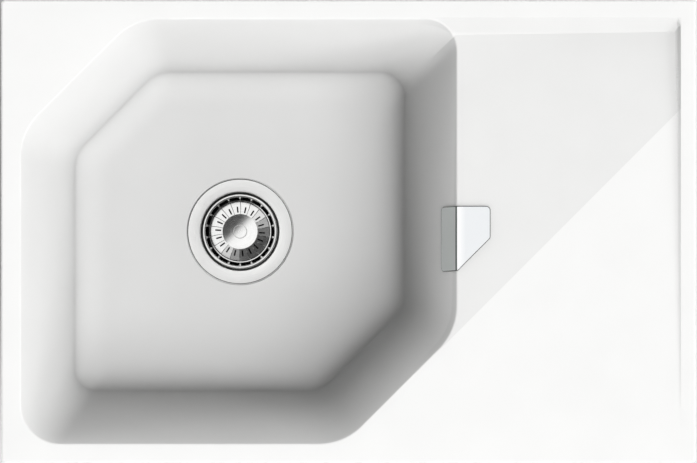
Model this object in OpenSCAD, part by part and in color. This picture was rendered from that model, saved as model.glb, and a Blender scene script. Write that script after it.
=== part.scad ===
// Inset kitchen sink of white stone-filled resin: one bowl with two cut corners, a sloped drainer,
// a basket waste, a folded overflow cover with its pipe, and clips that grip the worktop.
// Millimetres. Origin at the plan centre on the worktop, +X to the drainer, +Y to the back, +Z up.

/* [Sink] */
// Length of the sink, left to right
sink_l = 750; // [735:1:780]
// Width of the sink, front to back
sink_w = 500; // [490:1:520]
// Corner radius of the rim, seen from above
rim_corner_r = 4; // [3:0.5:12]
// Height of the rim above the worktop
rim_h = 9; // [8:0.5:12]
// Thickness of the moulded walls
wall = 9; // [7:0.5:10]
// Width of the rim that lies on the worktop
rim_lap = 10; // [9:0.5:12]
// Width of the rim left of the bowl
rim_left = 19.5; // [19:0.5:26]
// Width of the rim right of the drainer
rim_right = 16; // [15:0.5:24]
// Width of the rim behind the bowl, and in front of it
rim_side = 19; // [18:0.5:26]

/* [Bowl] */
// Length of the bowl's opening, left to right
bowl_l = 474; // [450:1:490]
// Depth from the rim to the floor at the waste
bowl_depth = 190; // [170:1:210]
// Leg of the two cut corners
bowl_cut = 123; // [100:1:135]
// Plan radius where a cut meets a side
cut_r = 68; // [50:1:80]
// Plan radius of the front left corner
front_r = 43; // [30:1:55]
// Plan radius of the corner beside the drainer
drainer_r = 34; // [26:1:40]
// Radius of the bowl's edge
edge_r = 2.5; // [1.5:0.5:4]
// Plan width of the wall, from the edge to its foot
wall_run = 57; // [50:1:62]
// Plan width of the curve between wall and floor
foot_run = 35; // [28:1:38]
// Height of that curve
foot_h = 30; // [24:1:36]
// Fall of the floor towards the waste
floor_fall = 4; // [2:0.5:6]

/* [Drainer] */
// Depth under the rim at the bowl's back corner
fall_bowl = 13; // [10:0.5:15]
// Depth under the rim at the back right corner
fall_right = 9; // [7:0.5:11]
// Distance from the sink's front edge to where the drainer runs out
drainer_front = 36; // [30:1:60]
// Plan radius of the drainer's back right corner
drainer_corner_r = 7; // [4:0.5:10]
// Radius that the drainer's side walls roll down with
drainer_roll_r = 14; // [10:0.5:16]

/* [Tap holes] */
// Radius of the blind tap holes under the rim
tap_r = 17.5; // [16:0.5:19]
// Thickness of the skin left above them
tap_skin = 3; // [2:0.5:5]
// Distance of the back hole from the sink's left and back edges
tap_back_in = 40; // [36:1:46]
// Distance of the front hole from the sink's front edge
tap_front_in = 50; // [44:1:54]

/* [Waste] */
// Radius of the hole in the bowl's floor
waste_hole_r = 45; // [44.6:0.1:45.5]
// Outer radius of the strainer's flange
flange_r = 57.3; // [55:0.1:59]
// Inner radius of the strainer's cup
cup_r = 43; // [42.5:0.1:43.3]
// Depth of the strainer's cup
cup_depth = 42; // [40:0.5:48]
// Thickness of the pressed sheet
sheet_t = 1; // [0.8:0.1:1.2]
// Radius of the threaded outlet
outlet_r = 23.9; // [20:0.1:26]
// Length of the threaded outlet
outlet_l = 32; // [26:1:45]

/* [Basket] */
// Outer radius of the basket's rim
basket_r = 41.1; // [40.5:0.1:41.3]
// Depth of the basket
basket_depth = 21; // [18:0.5:22]
// Number of slots in its wall, and in its floor
slot_count = 18; // [12:1:20]
// Width of the bars between the wall slots
bar_w = 1.9; // [1.4:0.1:3]
// Width of the floor slots
slot_w = 1.6; // [1.2:0.1:2.2]
// Radius of the dished knob
knob_r = 19.3; // [17:0.1:20]
// Radius of the cap in the knob
cap_r = 7.6; // [7:0.1:9]
// Radius of the stem
stem_r = 3; // [2.5:0.1:3.2]

/* [Overflow] */
// Length of the folded cover along the bowl's edge
cover_w = 70; // [60:1:76]
// Width of the cover's limb on the drainer
cover_flat = 34.8; // [30:0.2:40]
// Length of the cover's limb down the bowl wall
cover_drop = 33; // [30:0.5:35]
// Place of the cover along the bowl's edge
overflow_y = -7.6; // [-20:0.2:10]
// Height of the overflow hole under the worktop
overflow_drop = 18.5; // [18:0.5:21]
// Radius of the overflow hole
overflow_r = 7; // [6:0.5:7.5]
// Outer radius of the ribbed hose
hose_r = 11; // [10:0.5:11.5]
// Distance between the hose's ribs
hose_pitch = 4.2; // [3.8:0.1:6]

/* [Clips] */
// Length of a clip's arm from its screw
clip_l = 34; // [30:1:38]
// Worktop thickness that the clips are set for
worktop_t = 30; // [28:1:34]
// Radius of the clip screws
screw_r = 2.5; // [2:0.1:2.8]

/* [Hidden] */

$fn = 64;
resin = "whitesmoke";
steel = "silver";
plastic = "dimgray";
rubber = "black";
brass_tone = "goldenrod";

// Clearance of a shaft in its hole
fit = 0.06;
// Gap between faces that slide or turn past each other
gap = 0.3;
// Overshoot of a cut past the face it opens
over = 1;
// Height of a cut's first ring above the face it starts from
skim = 0.02;

// Edges of the bowl and of the drainer, seen from above
bowl_left = -sink_l / 2 + rim_left;
bowl_right = bowl_left + bowl_l;
bowl_back = sink_w / 2 - rim_side;
drainer_right = sink_l / 2 - rim_right;
waste_x = (bowl_left + bowl_right) / 2;
floor_z = rim_h - bowl_depth;
hole_l = sink_l - 2 * rim_lap;
hole_w = sink_w - 2 * rim_lap;

// Rounded outline
corner_steps = 6;
rim_steps = 4;
function unit(v) = v / norm(v);
function left_of(v) = [-v.y, v.x];
// Points of an anticlockwise outline, moved inwards by inset, with a radius at each corner
function outline(corners, radii, inset, steps) = [
    for (i = [0:len(corners) - 1])
        let (
            n = len(corners),
            before = left_of(unit(corners[i] - corners[(i + n - 1) % n])),
            after = left_of(unit(corners[(i + 1) % n] - corners[i])),
            centre = corners[i] + (inset + radii[i]) * (before + after) / (1 + before * after),
            start = atan2(before.y, before.x),
            turn = acos(before * after))
        for (k = [0:steps])
            centre - radii[i] * [cos(start + turn * k / steps), sin(start + turn * k / steps)]
];
function rectangle(l, w) = [[-l / 2, -w / 2], [l / 2, -w / 2], [l / 2, w / 2], [-l / 2, w / 2]];
function rounded(l, w, r, inset = 0) = outline(rectangle(l, w), [r, r, r, r], inset, rim_steps);
function at_height(points, z) = [for (p = points) [p.x, p.y, z]];

// Faces of a solid lofted through anticlockwise rings, the highest ring first
function loft_faces(count, n) = concat(
    [[for (k = [n - 1:-1:0]) k]],
    [for (i = [0:count - 2], k = [0:n - 1]) [i * n + k, i * n + (k + 1) % n, (i + 1) * n + (k + 1) % n]],
    [for (i = [0:count - 2], k = [0:n - 1]) [i * n + k, (i + 1) * n + (k + 1) % n, (i + 1) * n + k]],
    [[for (k = [0:n - 1]) (count - 1) * n + k]]);
module loft(rings) {
    polyhedron([for (r = rings) each r], loft_faces(len(rings), len(rings[0])), convexity = 6);
}

// The drainer is two planes that meet in a crease. The crease carries on the line of the cut corner.
crease = [bowl_right, -bowl_back + bowl_cut];
run_out = [drainer_right, -sink_w / 2 + drainer_front] - crease;
back_slope = [(fall_right - fall_bowl) / (drainer_right - bowl_right), fall_bowl / (bowl_back - crease.y)];
front_slope_x = (back_slope.x + back_slope.y) / (1 - run_out.x / run_out.y);
front_slope = [front_slope_x, -front_slope_x * run_out.x / run_out.y];
function back_fall(p) = back_slope * (p - crease);
function front_fall(p) = front_slope * (p - crease);
function fall(p) = max(back_fall(p), front_fall(p));

// Side walls of the drainer: width in plan and share of the depth at a share t of that width.
// The back wall is a plain slope, the right wall is hollow.
least_fall = 0.05;
function roll_width(depth) = sqrt(2 * drainer_roll_r * max(depth, least_fall));
function roll_share(t, hollow) = (1 - hollow) * t + hollow * sin(90 * t);
roll_steps = 4;

// Depth of the drainer's surface near the bowl's back right corner, where the back wall reaches it
function edge_dip(p) =
    p.x < bowl_right - 2 * drainer_r ? 0
    : let (depth = max(0, fall(p)))
        depth * min(1, (bowl_back - p.y) / roll_width(depth));

// Bowl: outline, corner radii and profile as pairs of inset and depth
bowl_corners = [
    [bowl_left, -bowl_back], [bowl_right - bowl_cut, -bowl_back], [bowl_right, -bowl_back + bowl_cut],
    [bowl_right, bowl_back], [bowl_left + bowl_cut, bowl_back], [bowl_left, bowl_back - bowl_cut]
];
bowl_radii = [front_r, cut_r, cut_r, drainer_r, cut_r, cut_r];
radius_fade = 130;
least_r = 12;
function radii_at(inset, extra) = [for (r = bowl_radii) max(r * (1 - inset / radius_fade), least_r) + extra];
edge_turn = 62;
wall_steps = 6;
foot_steps = 4;
// How fast the wall steepens with depth: 1 is a plain slope
wall_curve = 1.4;
wall_depth = bowl_depth - floor_fall - foot_h;
edge_end = edge_r * [sin(edge_turn), 1 - cos(edge_turn)];
bowl_profile = concat(
    [edge_r * [sin(edge_turn / 2), 1 - cos(edge_turn / 2)], edge_end],
    [for (i = [1:wall_steps]) let (t = i / wall_steps) [
        edge_end.x + (wall_run - edge_end.x) * (1 - pow(1 - t, wall_curve)),
        edge_end.y + (wall_depth - edge_end.y) * t]],
    [for (i = [1:foot_steps]) let (a = 90 * i / foot_steps) [
        wall_run + foot_run * (1 - cos(a)),
        wall_depth + foot_h * sin(a)]]);
// The drainer's dip at the bowl's edge fades out down the wall
dip_fade = 100;
function bowl_ring(inset, radii, depth, dips) = let (points = outline(bowl_corners, radii, inset, corner_steps)) [
    for (k = [0:len(points) - 1])
        [points[k].x, points[k].y, rim_h - depth - dips[k] * max(0, 1 - depth / dip_fade)]
];
edge_line = outline(bowl_corners, bowl_radii, 0, corner_steps);
edge_dips = [for (p = edge_line) edge_dip(p)];
// Flat round the waste, with the points in line with the floor's corners
function floor_ring(r, z) = let (
    points = outline(bowl_corners, radii_at(wall_run + foot_run, 0), wall_run + foot_run, corner_steps)) [
    for (p = points)
        let (d = unit(p - [waste_x, 0]))
        [waste_x + r * d.x, r * d.y, z]
];
waste_flat_r = flange_r + 5;
waste_boss_r = flange_r + 7;

module bowl_space() {
    loft(concat(
        [at_height(edge_line, rim_h + 8)],
        [bowl_ring(0, bowl_radii, -skim, edge_dips)],
        [for (p = bowl_profile) bowl_ring(p.x, radii_at(p.x, 0), p.y, edge_dips)],
        [floor_ring(waste_flat_r, floor_z)]));
}

// The outside of the bowl lies one wall thickness behind each point of the profile
function behind(i) = let (
    last = len(bowl_profile) - 1,
    along = unit(bowl_profile[min(i + 1, last)] - bowl_profile[max(i - 1, 0)]))
    i == last ? bowl_profile[i] + [0, wall] : bowl_profile[i] + wall * [-along.y, along.x];
module bowl_outside() {
    first = 1;
    no_dips = [for (p = edge_line) 0];
    loft(concat(
        [at_height(outline(bowl_corners, radii_at(0, wall), behind(first).x, corner_steps), rim_h / 2)],
        [for (i = [first + 1:len(bowl_profile) - 1])
            bowl_ring(behind(i).x, radii_at(bowl_profile[i].x, wall), behind(i).y, no_dips)],
        [floor_ring(waste_boss_r - 3, floor_z - wall)]));
}

// Body of the drainer's hollow, or of the pan under it when it is grown and lowered
crease_end_y = crease.y + drainer_right - roll_width((fall_right + fall_bowl) / 4) - bowl_right;
// The two walls meet in a mitre with a narrow valley
valley_r = 1;
corner_w = roll_width(fall_right);
corner_foot = [drainer_right - corner_w, bowl_back - corner_w];
right_wall_y = [for (t = [0:0.25:1]) (1 - t) * (bowl_back - 2 * corner_w) + t * crease_end_y];
front_stop = -sink_w / 2 + drainer_front / 2;
front_wall_y = [for (t = [0.2, 0.4, 0.6, 0.75, 0.85, 0.93, 1]) (1 - t) * crease_end_y + t * front_stop];
back_start = bowl_right - 1.4 * drainer_r;
back_wall_x = [for (t = [0:0.25:1]) (1 - t) * back_start + t * (drainer_right - 2 * corner_w)];
corner_centre = [drainer_right - drainer_corner_r, bowl_back - drainer_corner_r];
corner_turns = [90:-22.5:0];
// Each entry is a point on the wall's top line, the point at its foot and the way out of the drainer
function wall_column(p, out) = [p, p - roll_width(fall(p - roll_width(fall(p)) * out)) * out, out];
drainer_path = concat(
    [for (x = back_wall_x) wall_column([x, bowl_back], [0, 1])],
    [for (a = corner_turns) let (out = [cos(a), sin(a)])
        [corner_centre + drainer_corner_r * out, corner_foot + valley_r * out, out]],
    [for (y = concat(right_wall_y, front_wall_y)) wall_column([drainer_right, y], [1, 0])]);
crease_index = len(back_wall_x) + len([for (a = corner_turns) a]) + len(right_wall_y) - 1;
// The planes start a little past the crease's end, where they lie above the rim
crease_lead = 12;
left_lead = 30;
module drainer_body(grow, drop, top) {
    columns = len(drainer_path);
    levels = roll_steps + 3;
    function column(e) = let (
        outer = e[0] + (grow + over) * e[2],
        depth = fall(e[1]),
        hollow = e[2].x * e[2].x)
        concat(
            [[outer.x, outer.y, top], [outer.x, outer.y, rim_h + skim - drop]],
            [for (i = [0:roll_steps]) let (
                t = i / roll_steps,
                p = (1 - t) * e[0] + t * e[1] + grow * e[2])
                [p.x, p.y, rim_h + skim * (1 - t) - drop - depth * roll_share(t, hollow)]]);
    function low(p) = [p.x, p.y, rim_h - drop - fall(p)];
    start = crease - crease_lead * [1, 1];
    left_end = [back_start, crease.y - left_lead];
    front_end = [crease.x + 30, front_stop];
    ends = [
        low(front_end), [front_end.x, front_end.y, top],
        low(start), [start.x, start.y, top],
        low(left_end), [left_end.x, left_end.y, top]
    ];
    points = concat([for (e = drainer_path) each column(e)], ends);
    first_end = columns * levels;
    front_low = first_end;
    front_top = first_end + 1;
    crease_low = first_end + 2;
    crease_top = first_end + 3;
    left_low = first_end + 4;
    left_top = first_end + 5;
    function v(k, j) = k * levels + j;
    last = columns - 1;
    foot = levels - 1;
    faces = concat(
        [concat([crease_top, left_top], [for (k = [0:last]) v(k, 0)], [front_top])],
        [for (k = [0:last - 1], j = [0:foot - 1]) [v(k, j), v(k, j + 1), v(k + 1, j + 1)]],
        [for (k = [0:last - 1], j = [0:foot - 1]) [v(k, j), v(k + 1, j + 1), v(k + 1, j)]],
        [concat([v(0, 0), left_top, left_low], [for (j = [foot:-1:1]) v(0, j)])],
        [concat([for (j = [0:foot]) v(last, j)], [front_low, front_top])],
        [[crease_top, front_top, front_low, crease_low], [left_top, crease_top, crease_low, left_low]],
        [[left_low, crease_low, v(crease_index, foot)]],
        [for (k = [crease_index:-1:1]) [left_low, v(k, foot), v(k - 1, foot)]],
        [for (k = [last:-1:crease_index + 1]) [front_low, v(k, foot), v(k - 1, foot)]],
        [[front_low, v(crease_index, foot), crease_low]]);
    polyhedron(points, faces, convexity = 6);
}

// Clips: place, and the way out of the sink in degrees
clip_in = 8;
clip_places = [
    [-hole_l / 2 + clip_in, 40, 180], [-hole_l / 2 + clip_in, -120, 180],
    [-120, hole_w / 2 - clip_in, 90], [230, hole_w / 2 - clip_in, 90],
    [hole_l / 2 - clip_in, 60, 0], [hole_l / 2 - clip_in, -120, 0],
    [-200, -hole_w / 2 + clip_in, 270], [200, -hole_w / 2 + clip_in, 270]
];
lug_r = 6.5;
lug_h = 22;
insert_r = 3.8;
insert_l = 14;

tap_places = [
    [-sink_l / 2 + tap_back_in, sink_w / 2 - tap_back_in],
    [bowl_right - bowl_cut / 3, -sink_w / 2 + tap_front_in]
];

// Groove under the rim for the sealing strip
seal_in = 3;
seal_w = 4;
seal_h = 2;

// Waste stack, downwards from the floor
seat_depth = 1.5;
gasket_t = 1;
seat_z = floor_z - seat_depth;
flange_z = seat_z + gasket_t + sheet_t;
boss_z = floor_z - wall - 5;
waste_gasket_t = 3;
housing_z = boss_z - waste_gasket_t;
cup_floor_z = flange_z - cup_depth;

// Overflow: faces of the boss, seat of the bridge
boss_x = bowl_right + 5.5;
bridge_x = bowl_right - 6.5;
bridge_r = overflow_r + 3;
overflow_boss_r = overflow_r + 6.5;
overflow_z = -overflow_drop;
module along_x(x, y, z) {
    translate([x, y, z]) rotate([0, 90, 0]) children();
}

module rim_slab() {
    round_r = 2.4;
    loft([
        at_height(rounded(sink_l, sink_w, rim_corner_r, round_r), rim_h),
        at_height(rounded(sink_l, sink_w, rim_corner_r, 0.3 * round_r), rim_h - 0.3 * round_r),
        at_height(rounded(sink_l, sink_w, rim_corner_r, 0), rim_h - round_r),
        at_height(rounded(sink_l, sink_w, rim_corner_r, 0), 0)
    ]);
}

module seal_ring(inset, w, low, high) {
    translate([0, 0, low]) linear_extrude(high - low) difference() {
        polygon(rounded(sink_l - 2 * inset, sink_w - 2 * inset, rim_corner_r));
        polygon(rounded(sink_l - 2 * (inset + w), sink_w - 2 * (inset + w), rim_corner_r));
    }
}

module sink_body() color(resin) difference() {
    union() {
        rim_slab();
        drainer_body(3, wall, rim_h / 2);
        bowl_outside();
        for (c = clip_places)
            translate([c.x, c.y, -lug_h]) cylinder(r = lug_r, h = lug_h + rim_h / 2);
        translate([waste_x, 0, boss_z]) cylinder(r = waste_boss_r, h = wall);
        along_x(bridge_x - 2, overflow_y, overflow_z) cylinder(r = overflow_boss_r, h = boss_x - bridge_x + 2);
    }
    bowl_space();
    drainer_body(0, 0, rim_h + 6);
    seal_ring(seal_in, seal_w, -over, seal_h);
    translate([waste_x, 0, seat_z]) cylinder(r = flange_r + 1, h = seat_depth + over);
    translate([waste_x, 0, boss_z - over]) cylinder(r = waste_hole_r, h = bowl_depth);
    along_x(bridge_x - 20, overflow_y, overflow_z) cylinder(r = bridge_r + gap, h = 20);
    along_x(bridge_x - 20, overflow_y, overflow_z) cylinder(r = overflow_r, h = 40);
    for (p = tap_places)
        translate([p.x, p.y, -over]) cylinder(r = tap_r, h = rim_h - tap_skin + over);
    for (c = clip_places)
        translate([c.x, c.y, -lug_h - over]) cylinder(r = insert_r, h = insert_l + over);
}

module rim_seal() color(rubber) seal_ring(seal_in + gap / 2, seal_w - gap, gap / 2, seal_h);

// Pressed cup of the waste: flange, ledge for the basket, wall, floor with a round opening
opening_r = 23;
ledge_r = cup_r - 3;
ledge_drop = 4.4;
cup_foot_r = 8;
hub_t = 2;
hub_r = 9;
function arc(centre, r, from, to, steps) = [
    for (i = [0:steps]) let (a = from + (to - from) * i / steps) centre + r * [cos(a), sin(a)]
];
module strainer_flange() color(steel) translate([waste_x, 0, 0]) {
    difference() {
        union() {
            rotate_extrude($fn = 128) polygon(concat(
                [[flange_r - 0.4, flange_z], [cup_r + sheet_t, flange_z]],
                arc([cup_r + sheet_t, flange_z - sheet_t], sheet_t, 90, 180, 3),
                [[cup_r, flange_z - ledge_drop + 0.6], [ledge_r, flange_z - ledge_drop - 0.6]],
                arc([ledge_r - cup_foot_r, cup_floor_z + cup_foot_r], cup_foot_r, 0, -90, 6),
                [[opening_r, cup_floor_z], [opening_r, cup_floor_z - 3 * sheet_t]],
                [[opening_r + sheet_t, cup_floor_z - 3 * sheet_t], [opening_r + sheet_t, cup_floor_z - sheet_t]],
                arc([ledge_r - cup_foot_r, cup_floor_z + cup_foot_r], cup_foot_r + sheet_t, -90, 0, 6),
                [[ledge_r + sheet_t, flange_z - ledge_drop - 1.2], [cup_r + sheet_t, flange_z - ledge_drop]],
                [[cup_r + sheet_t, flange_z - sheet_t], [flange_r, flange_z - sheet_t], [flange_r, flange_z - 0.4]]));
            for (a = [45, 135])
                rotate([0, 0, a]) translate([-opening_r - sheet_t / 2, -2.5, cup_floor_z - 3 * sheet_t])
                    cube([2 * opening_r + sheet_t, 5, hub_t]);
            translate([0, 0, cup_floor_z - 3 * sheet_t]) cylinder(r = hub_r, h = hub_t);
        }
        translate([0, 0, cup_floor_z - 3 * sheet_t - over]) cylinder(r = bolt_r + gap, h = hub_t + 2 * over);
    }
}

module flange_gasket() color(rubber) ring_at(waste_hole_r + 1, flange_r - gap, seat_z, gasket_t);
module waste_gasket() color(rubber) ring_at(waste_hole_r + 1, waste_boss_r - 4, housing_z, waste_gasket_t);
module ring_at(inner, outer, z, h) {
    translate([waste_x, 0, z]) difference() {
        cylinder(r = outer, h = h);
        translate([0, 0, -over]) cylinder(r = inner, h = h + 2 * over);
    }
}

// Plastic housing: flange, chamber, cone, threaded outlet, side inlet and a hub on three ribs
bolt_r = 5;
bolt_l = 22;
hub_top_z = cup_floor_z - 3 * sheet_t + hub_t;
chamber_r = waste_hole_r + 2;
housing_t = 3;
chamber_end_z = cup_floor_z - 11;
outlet_top_z = chamber_end_z - 20;
outlet_bore_r = outlet_r - 4.4;
insert_top_z = hub_top_z - 7;
insert_h = 14;
insert_ring_r = 7.2;
inlet_z = chamber_end_z + 12;
inlet_bore_r = 8.5;
inlet_r = 12.5;
inlet_end_x = waste_x + chamber_r + 30;
module housing_form(t) {
    rotate_extrude($fn = 96) polygon([
        [0, housing_z + (t == 0 ? over : 0)], [chamber_r + t, housing_z + (t == 0 ? over : 0)],
        [chamber_r + t, chamber_end_z], [outlet_bore_r + t, outlet_top_z],
        [outlet_bore_r + t, outlet_top_z - (t == 0 ? outlet_l + over : outlet_l)],
        [0, outlet_top_z - (t == 0 ? outlet_l + over : outlet_l)]]);
}
module waste_housing() color(plastic) difference() {
    union() {
        difference() {
            union() {
                translate([waste_x, 0, 0]) housing_form(housing_t);
                translate([waste_x, 0, housing_z - 5]) cylinder(r = waste_boss_r - 2, h = 5);
                translate([waste_x, 0, outlet_top_z - outlet_l]) cylinder(r = outlet_r, h = outlet_l + 4);
                translate([waste_x, 0, outlet_top_z + 2]) cylinder(r = outlet_r + 4, h = 4, $fn = 8);
                along_x(waste_x, 0, inlet_z) cylinder(r = inlet_r, h = inlet_end_x - waste_x);
                for (a = [0:60:300])
                    rotate_about(a) translate([chamber_r + 1, -1.2, housing_z - 16]) cube([12, 2.4, 14]);
            }
            translate([waste_x, 0, 0]) housing_form(0);
        }
        translate([waste_x, 0, insert_top_z - insert_h]) cylinder(r = insert_ring_r + 2.6, h = insert_h);
        for (a = [90:120:330])
            rotate_about(a) translate([insert_ring_r + 1, -1.5, insert_top_z - insert_h])
                cube([chamber_r - insert_ring_r, 3, insert_h - 3]);
    }
    translate([waste_x, 0, insert_top_z - insert_h + 2]) cylinder(r = insert_ring_r, h = insert_h);
    translate([waste_x, 0, insert_top_z - insert_h - over]) cylinder(r = bolt_r + gap, h = insert_h);
    along_x(waste_x + chamber_r - 8, 0, inlet_z) cylinder(r = inlet_bore_r, h = inlet_end_x - waste_x);
}
module rotate_about(a) {
    translate([waste_x, 0, 0]) rotate([0, 0, a]) children();
}

module housing_insert() color(brass_tone) translate([waste_x, 0, insert_top_z - insert_h + 2]) difference() {
    cylinder(r = insert_ring_r, h = insert_h - 2);
    translate([0, 0, -over]) cylinder(r = bolt_r, h = insert_h + over);
}

// Hollow-headed screw: its bore guides the stem
screw_head_h = 7;
module fixing_screw() color(steel) translate([waste_x, 0, 0]) difference() {
    union() {
        translate([0, 0, hub_top_z - bolt_l]) cylinder(r = bolt_r, h = bolt_l);
        translate([0, 0, hub_top_z]) cylinder(r = hub_r - 1, h = screw_head_h);
    }
    translate([0, 0, hub_top_z - 12]) cylinder(r = stem_r + fit, h = screw_head_h + 12 + over);
    translate([-hub_r, -1, hub_top_z + screw_head_h - 2]) cube([2 * hub_r, 2, 2 + over]);
}

// Pressed basket
basket_z = flange_z - 1.6;
basket_t = 0.8;
rim_w = 3.1;
wall_top_r = basket_r - rim_w;
wall_foot_r = wall_top_r - 3.7;
basket_floor_z = basket_z - basket_depth;
collar_r = stem_r + 2.6;
module basket() color(steel) translate([waste_x, 0, 0]) difference() {
    rotate_extrude($fn = 128) polygon(concat(
        [[stem_r + fit, basket_floor_z], [wall_foot_r - 2, basket_floor_z]],
        arc([wall_foot_r - 2, basket_floor_z + 2], 2, -90, 0, 3),
        [[wall_top_r, basket_z - 1.2]],
        arc([wall_top_r + rim_w / 2, basket_z - rim_w / 2], rim_w / 2, 150, 0, 5),
        [[basket_r, basket_z - 2.6], [basket_r - basket_t, basket_z - 2.6]],
        arc([wall_top_r + rim_w / 2, basket_z - rim_w / 2], rim_w / 2 - basket_t, 0, 60, 2),
        [[wall_top_r + basket_t, basket_z - 1.6]],
        arc([wall_foot_r - 2, basket_floor_z + 2], 2 + basket_t, 0, -90, 3),
        [[collar_r, basket_floor_z - basket_t], [collar_r, basket_floor_z - 1.8]],
        [[stem_r + fit, basket_floor_z - 1.8]]));
    for (i = [0:slot_count - 1]) {
        rotate([0, 0, 360 * (i + 1) / slot_count]) wall_slot();
        rotate([0, 0, 90 - 13.5 - 360 * i / slot_count]) floor_slot();
    }
}
module wall_slot() {
    mid_r = (wall_top_r + wall_foot_r) / 2;
    w = 2 * PI * mid_r / slot_count - bar_w;
    translate([wall_foot_r - 3, -w / 2, basket_floor_z + 4]) cube([rim_w + 3.4, w, basket_depth - 8]);
}
slot_from = 20.7;
slot_to = 27.2;
module floor_slot() {
    translate([0, 0, basket_floor_z - 3]) {
        translate([slot_from, -slot_w / 2, 0]) cube([slot_to - slot_from, slot_w, 6]);
        translate([slot_from, 0, 0]) cylinder(d = slot_w, h = 6, $fn = 16);
        translate([slot_to, 0, 0]) cylinder(d = slot_w, h = 6, $fn = 16);
    }
}

// Turned knob: dished face, waist and foot, with a pocket for the cap and the stem's head
knob_z = basket_z - 5;
knob_h = knob_z - basket_floor_z;
dish = 3.6;
pocket_h = 4;
pocket_z = knob_z - dish - pocket_h;
dish_r = (knob_r * knob_r + dish * dish) / (2 * dish);
dish_turn = asin(knob_r / dish_r);
cap_turn = asin(cap_r / dish_r);
module basket_knob() color(steel) translate([waste_x, 0, 0]) rotate_extrude($fn = 96) polygon(concat(
    [[stem_r + fit, basket_floor_z], [9, basket_floor_z], [9, basket_floor_z + 1]],
    arc([9 + 4.4, basket_floor_z + 5.4], 4.4, 270, 180, 4),
    [[10.5, knob_z - 4.6], [knob_r - 1, knob_z - 1.6], [knob_r, knob_z - 0.8], [knob_r - 0.4, knob_z]],
    arc([0, knob_z - dish + dish_r], dish_r, 270 + dish_turn - 1, 270 + cap_turn, 6),
    [[cap_r, pocket_z], [stem_r + fit, pocket_z]]));

module knob_cap() color(steel) translate([waste_x, 0, 0]) rotate_extrude() polygon([
    [0, pocket_z + 2.2], [cap_r - skim, pocket_z + 2.2], [cap_r - skim, pocket_z + pocket_h + 0.1],
    [cap_r - 0.8, pocket_z + pocket_h + 0.5], [0, pocket_z + pocket_h]]);

// Stem: head in the knob, shoulder over the plug, and a grooved tip in the screw's bore
plug_top_z = hub_top_z + screw_head_h + 4;
stem_tip_z = hub_top_z - 7;
groove_z = hub_top_z - 2;
ring_wire_r = 0.5;
module basket_stem() color(steel) translate([waste_x, 0, 0]) rotate_extrude() polygon([
    [0, stem_tip_z], [stem_r - 1, stem_tip_z], [stem_r, stem_tip_z + 1],
    [stem_r, groove_z - ring_wire_r], [stem_r - 2 * ring_wire_r, groove_z - ring_wire_r],
    [stem_r - 2 * ring_wire_r, groove_z + ring_wire_r], [stem_r, groove_z + ring_wire_r],
    [stem_r, plug_top_z], [stem_r + 2, plug_top_z], [stem_r + 2, washer_z],
    [stem_r, washer_z], [stem_r, pocket_z + gap],
    [stem_r + 2.4, pocket_z + gap], [stem_r + 2.4, pocket_z + 1.9], [0, pocket_z + 1.9]]);
washer_t = 1;
washer_z = basket_floor_z - 1.8 - gap - washer_t;
module basket_washer() color(steel) translate([waste_x, 0, washer_z]) difference() {
    cylinder(r = stem_r + 6, h = washer_t);
    translate([0, 0, -over]) cylinder(r = stem_r, h = washer_t + 2 * over);
}
module click_ring() color(steel) translate([waste_x, 0, groove_z])
    rotate_extrude() translate([stem_r - ring_wire_r + fit / 2, 0]) circle(r = ring_wire_r, $fn = 16);

// Rubber plug: a bell whose lip closes the cup's opening
lip_z = cup_floor_z + gap / 2;
module basket_plug() color(rubber) translate([waste_x, 0, 0]) rotate_extrude($fn = 96) polygon([
    [stem_r, plug_top_z], [stem_r, plug_top_z - 3], [hub_r + 3, plug_top_z - 3],
    [opening_r - 3, plug_top_z - 4.5], [opening_r + 1, lip_z + 1.6], [opening_r + 3, lip_z],
    [opening_r + 5, lip_z + 0.6], [opening_r + 3, lip_z + 5], [opening_r - 1, plug_top_z - 1],
    [opening_r - 4, plug_top_z]]);

// Folded cover, in a frame that lies on the drainer's plane at the bowl's edge
cover_t = 1;
pad_t = 0.8;
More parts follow.
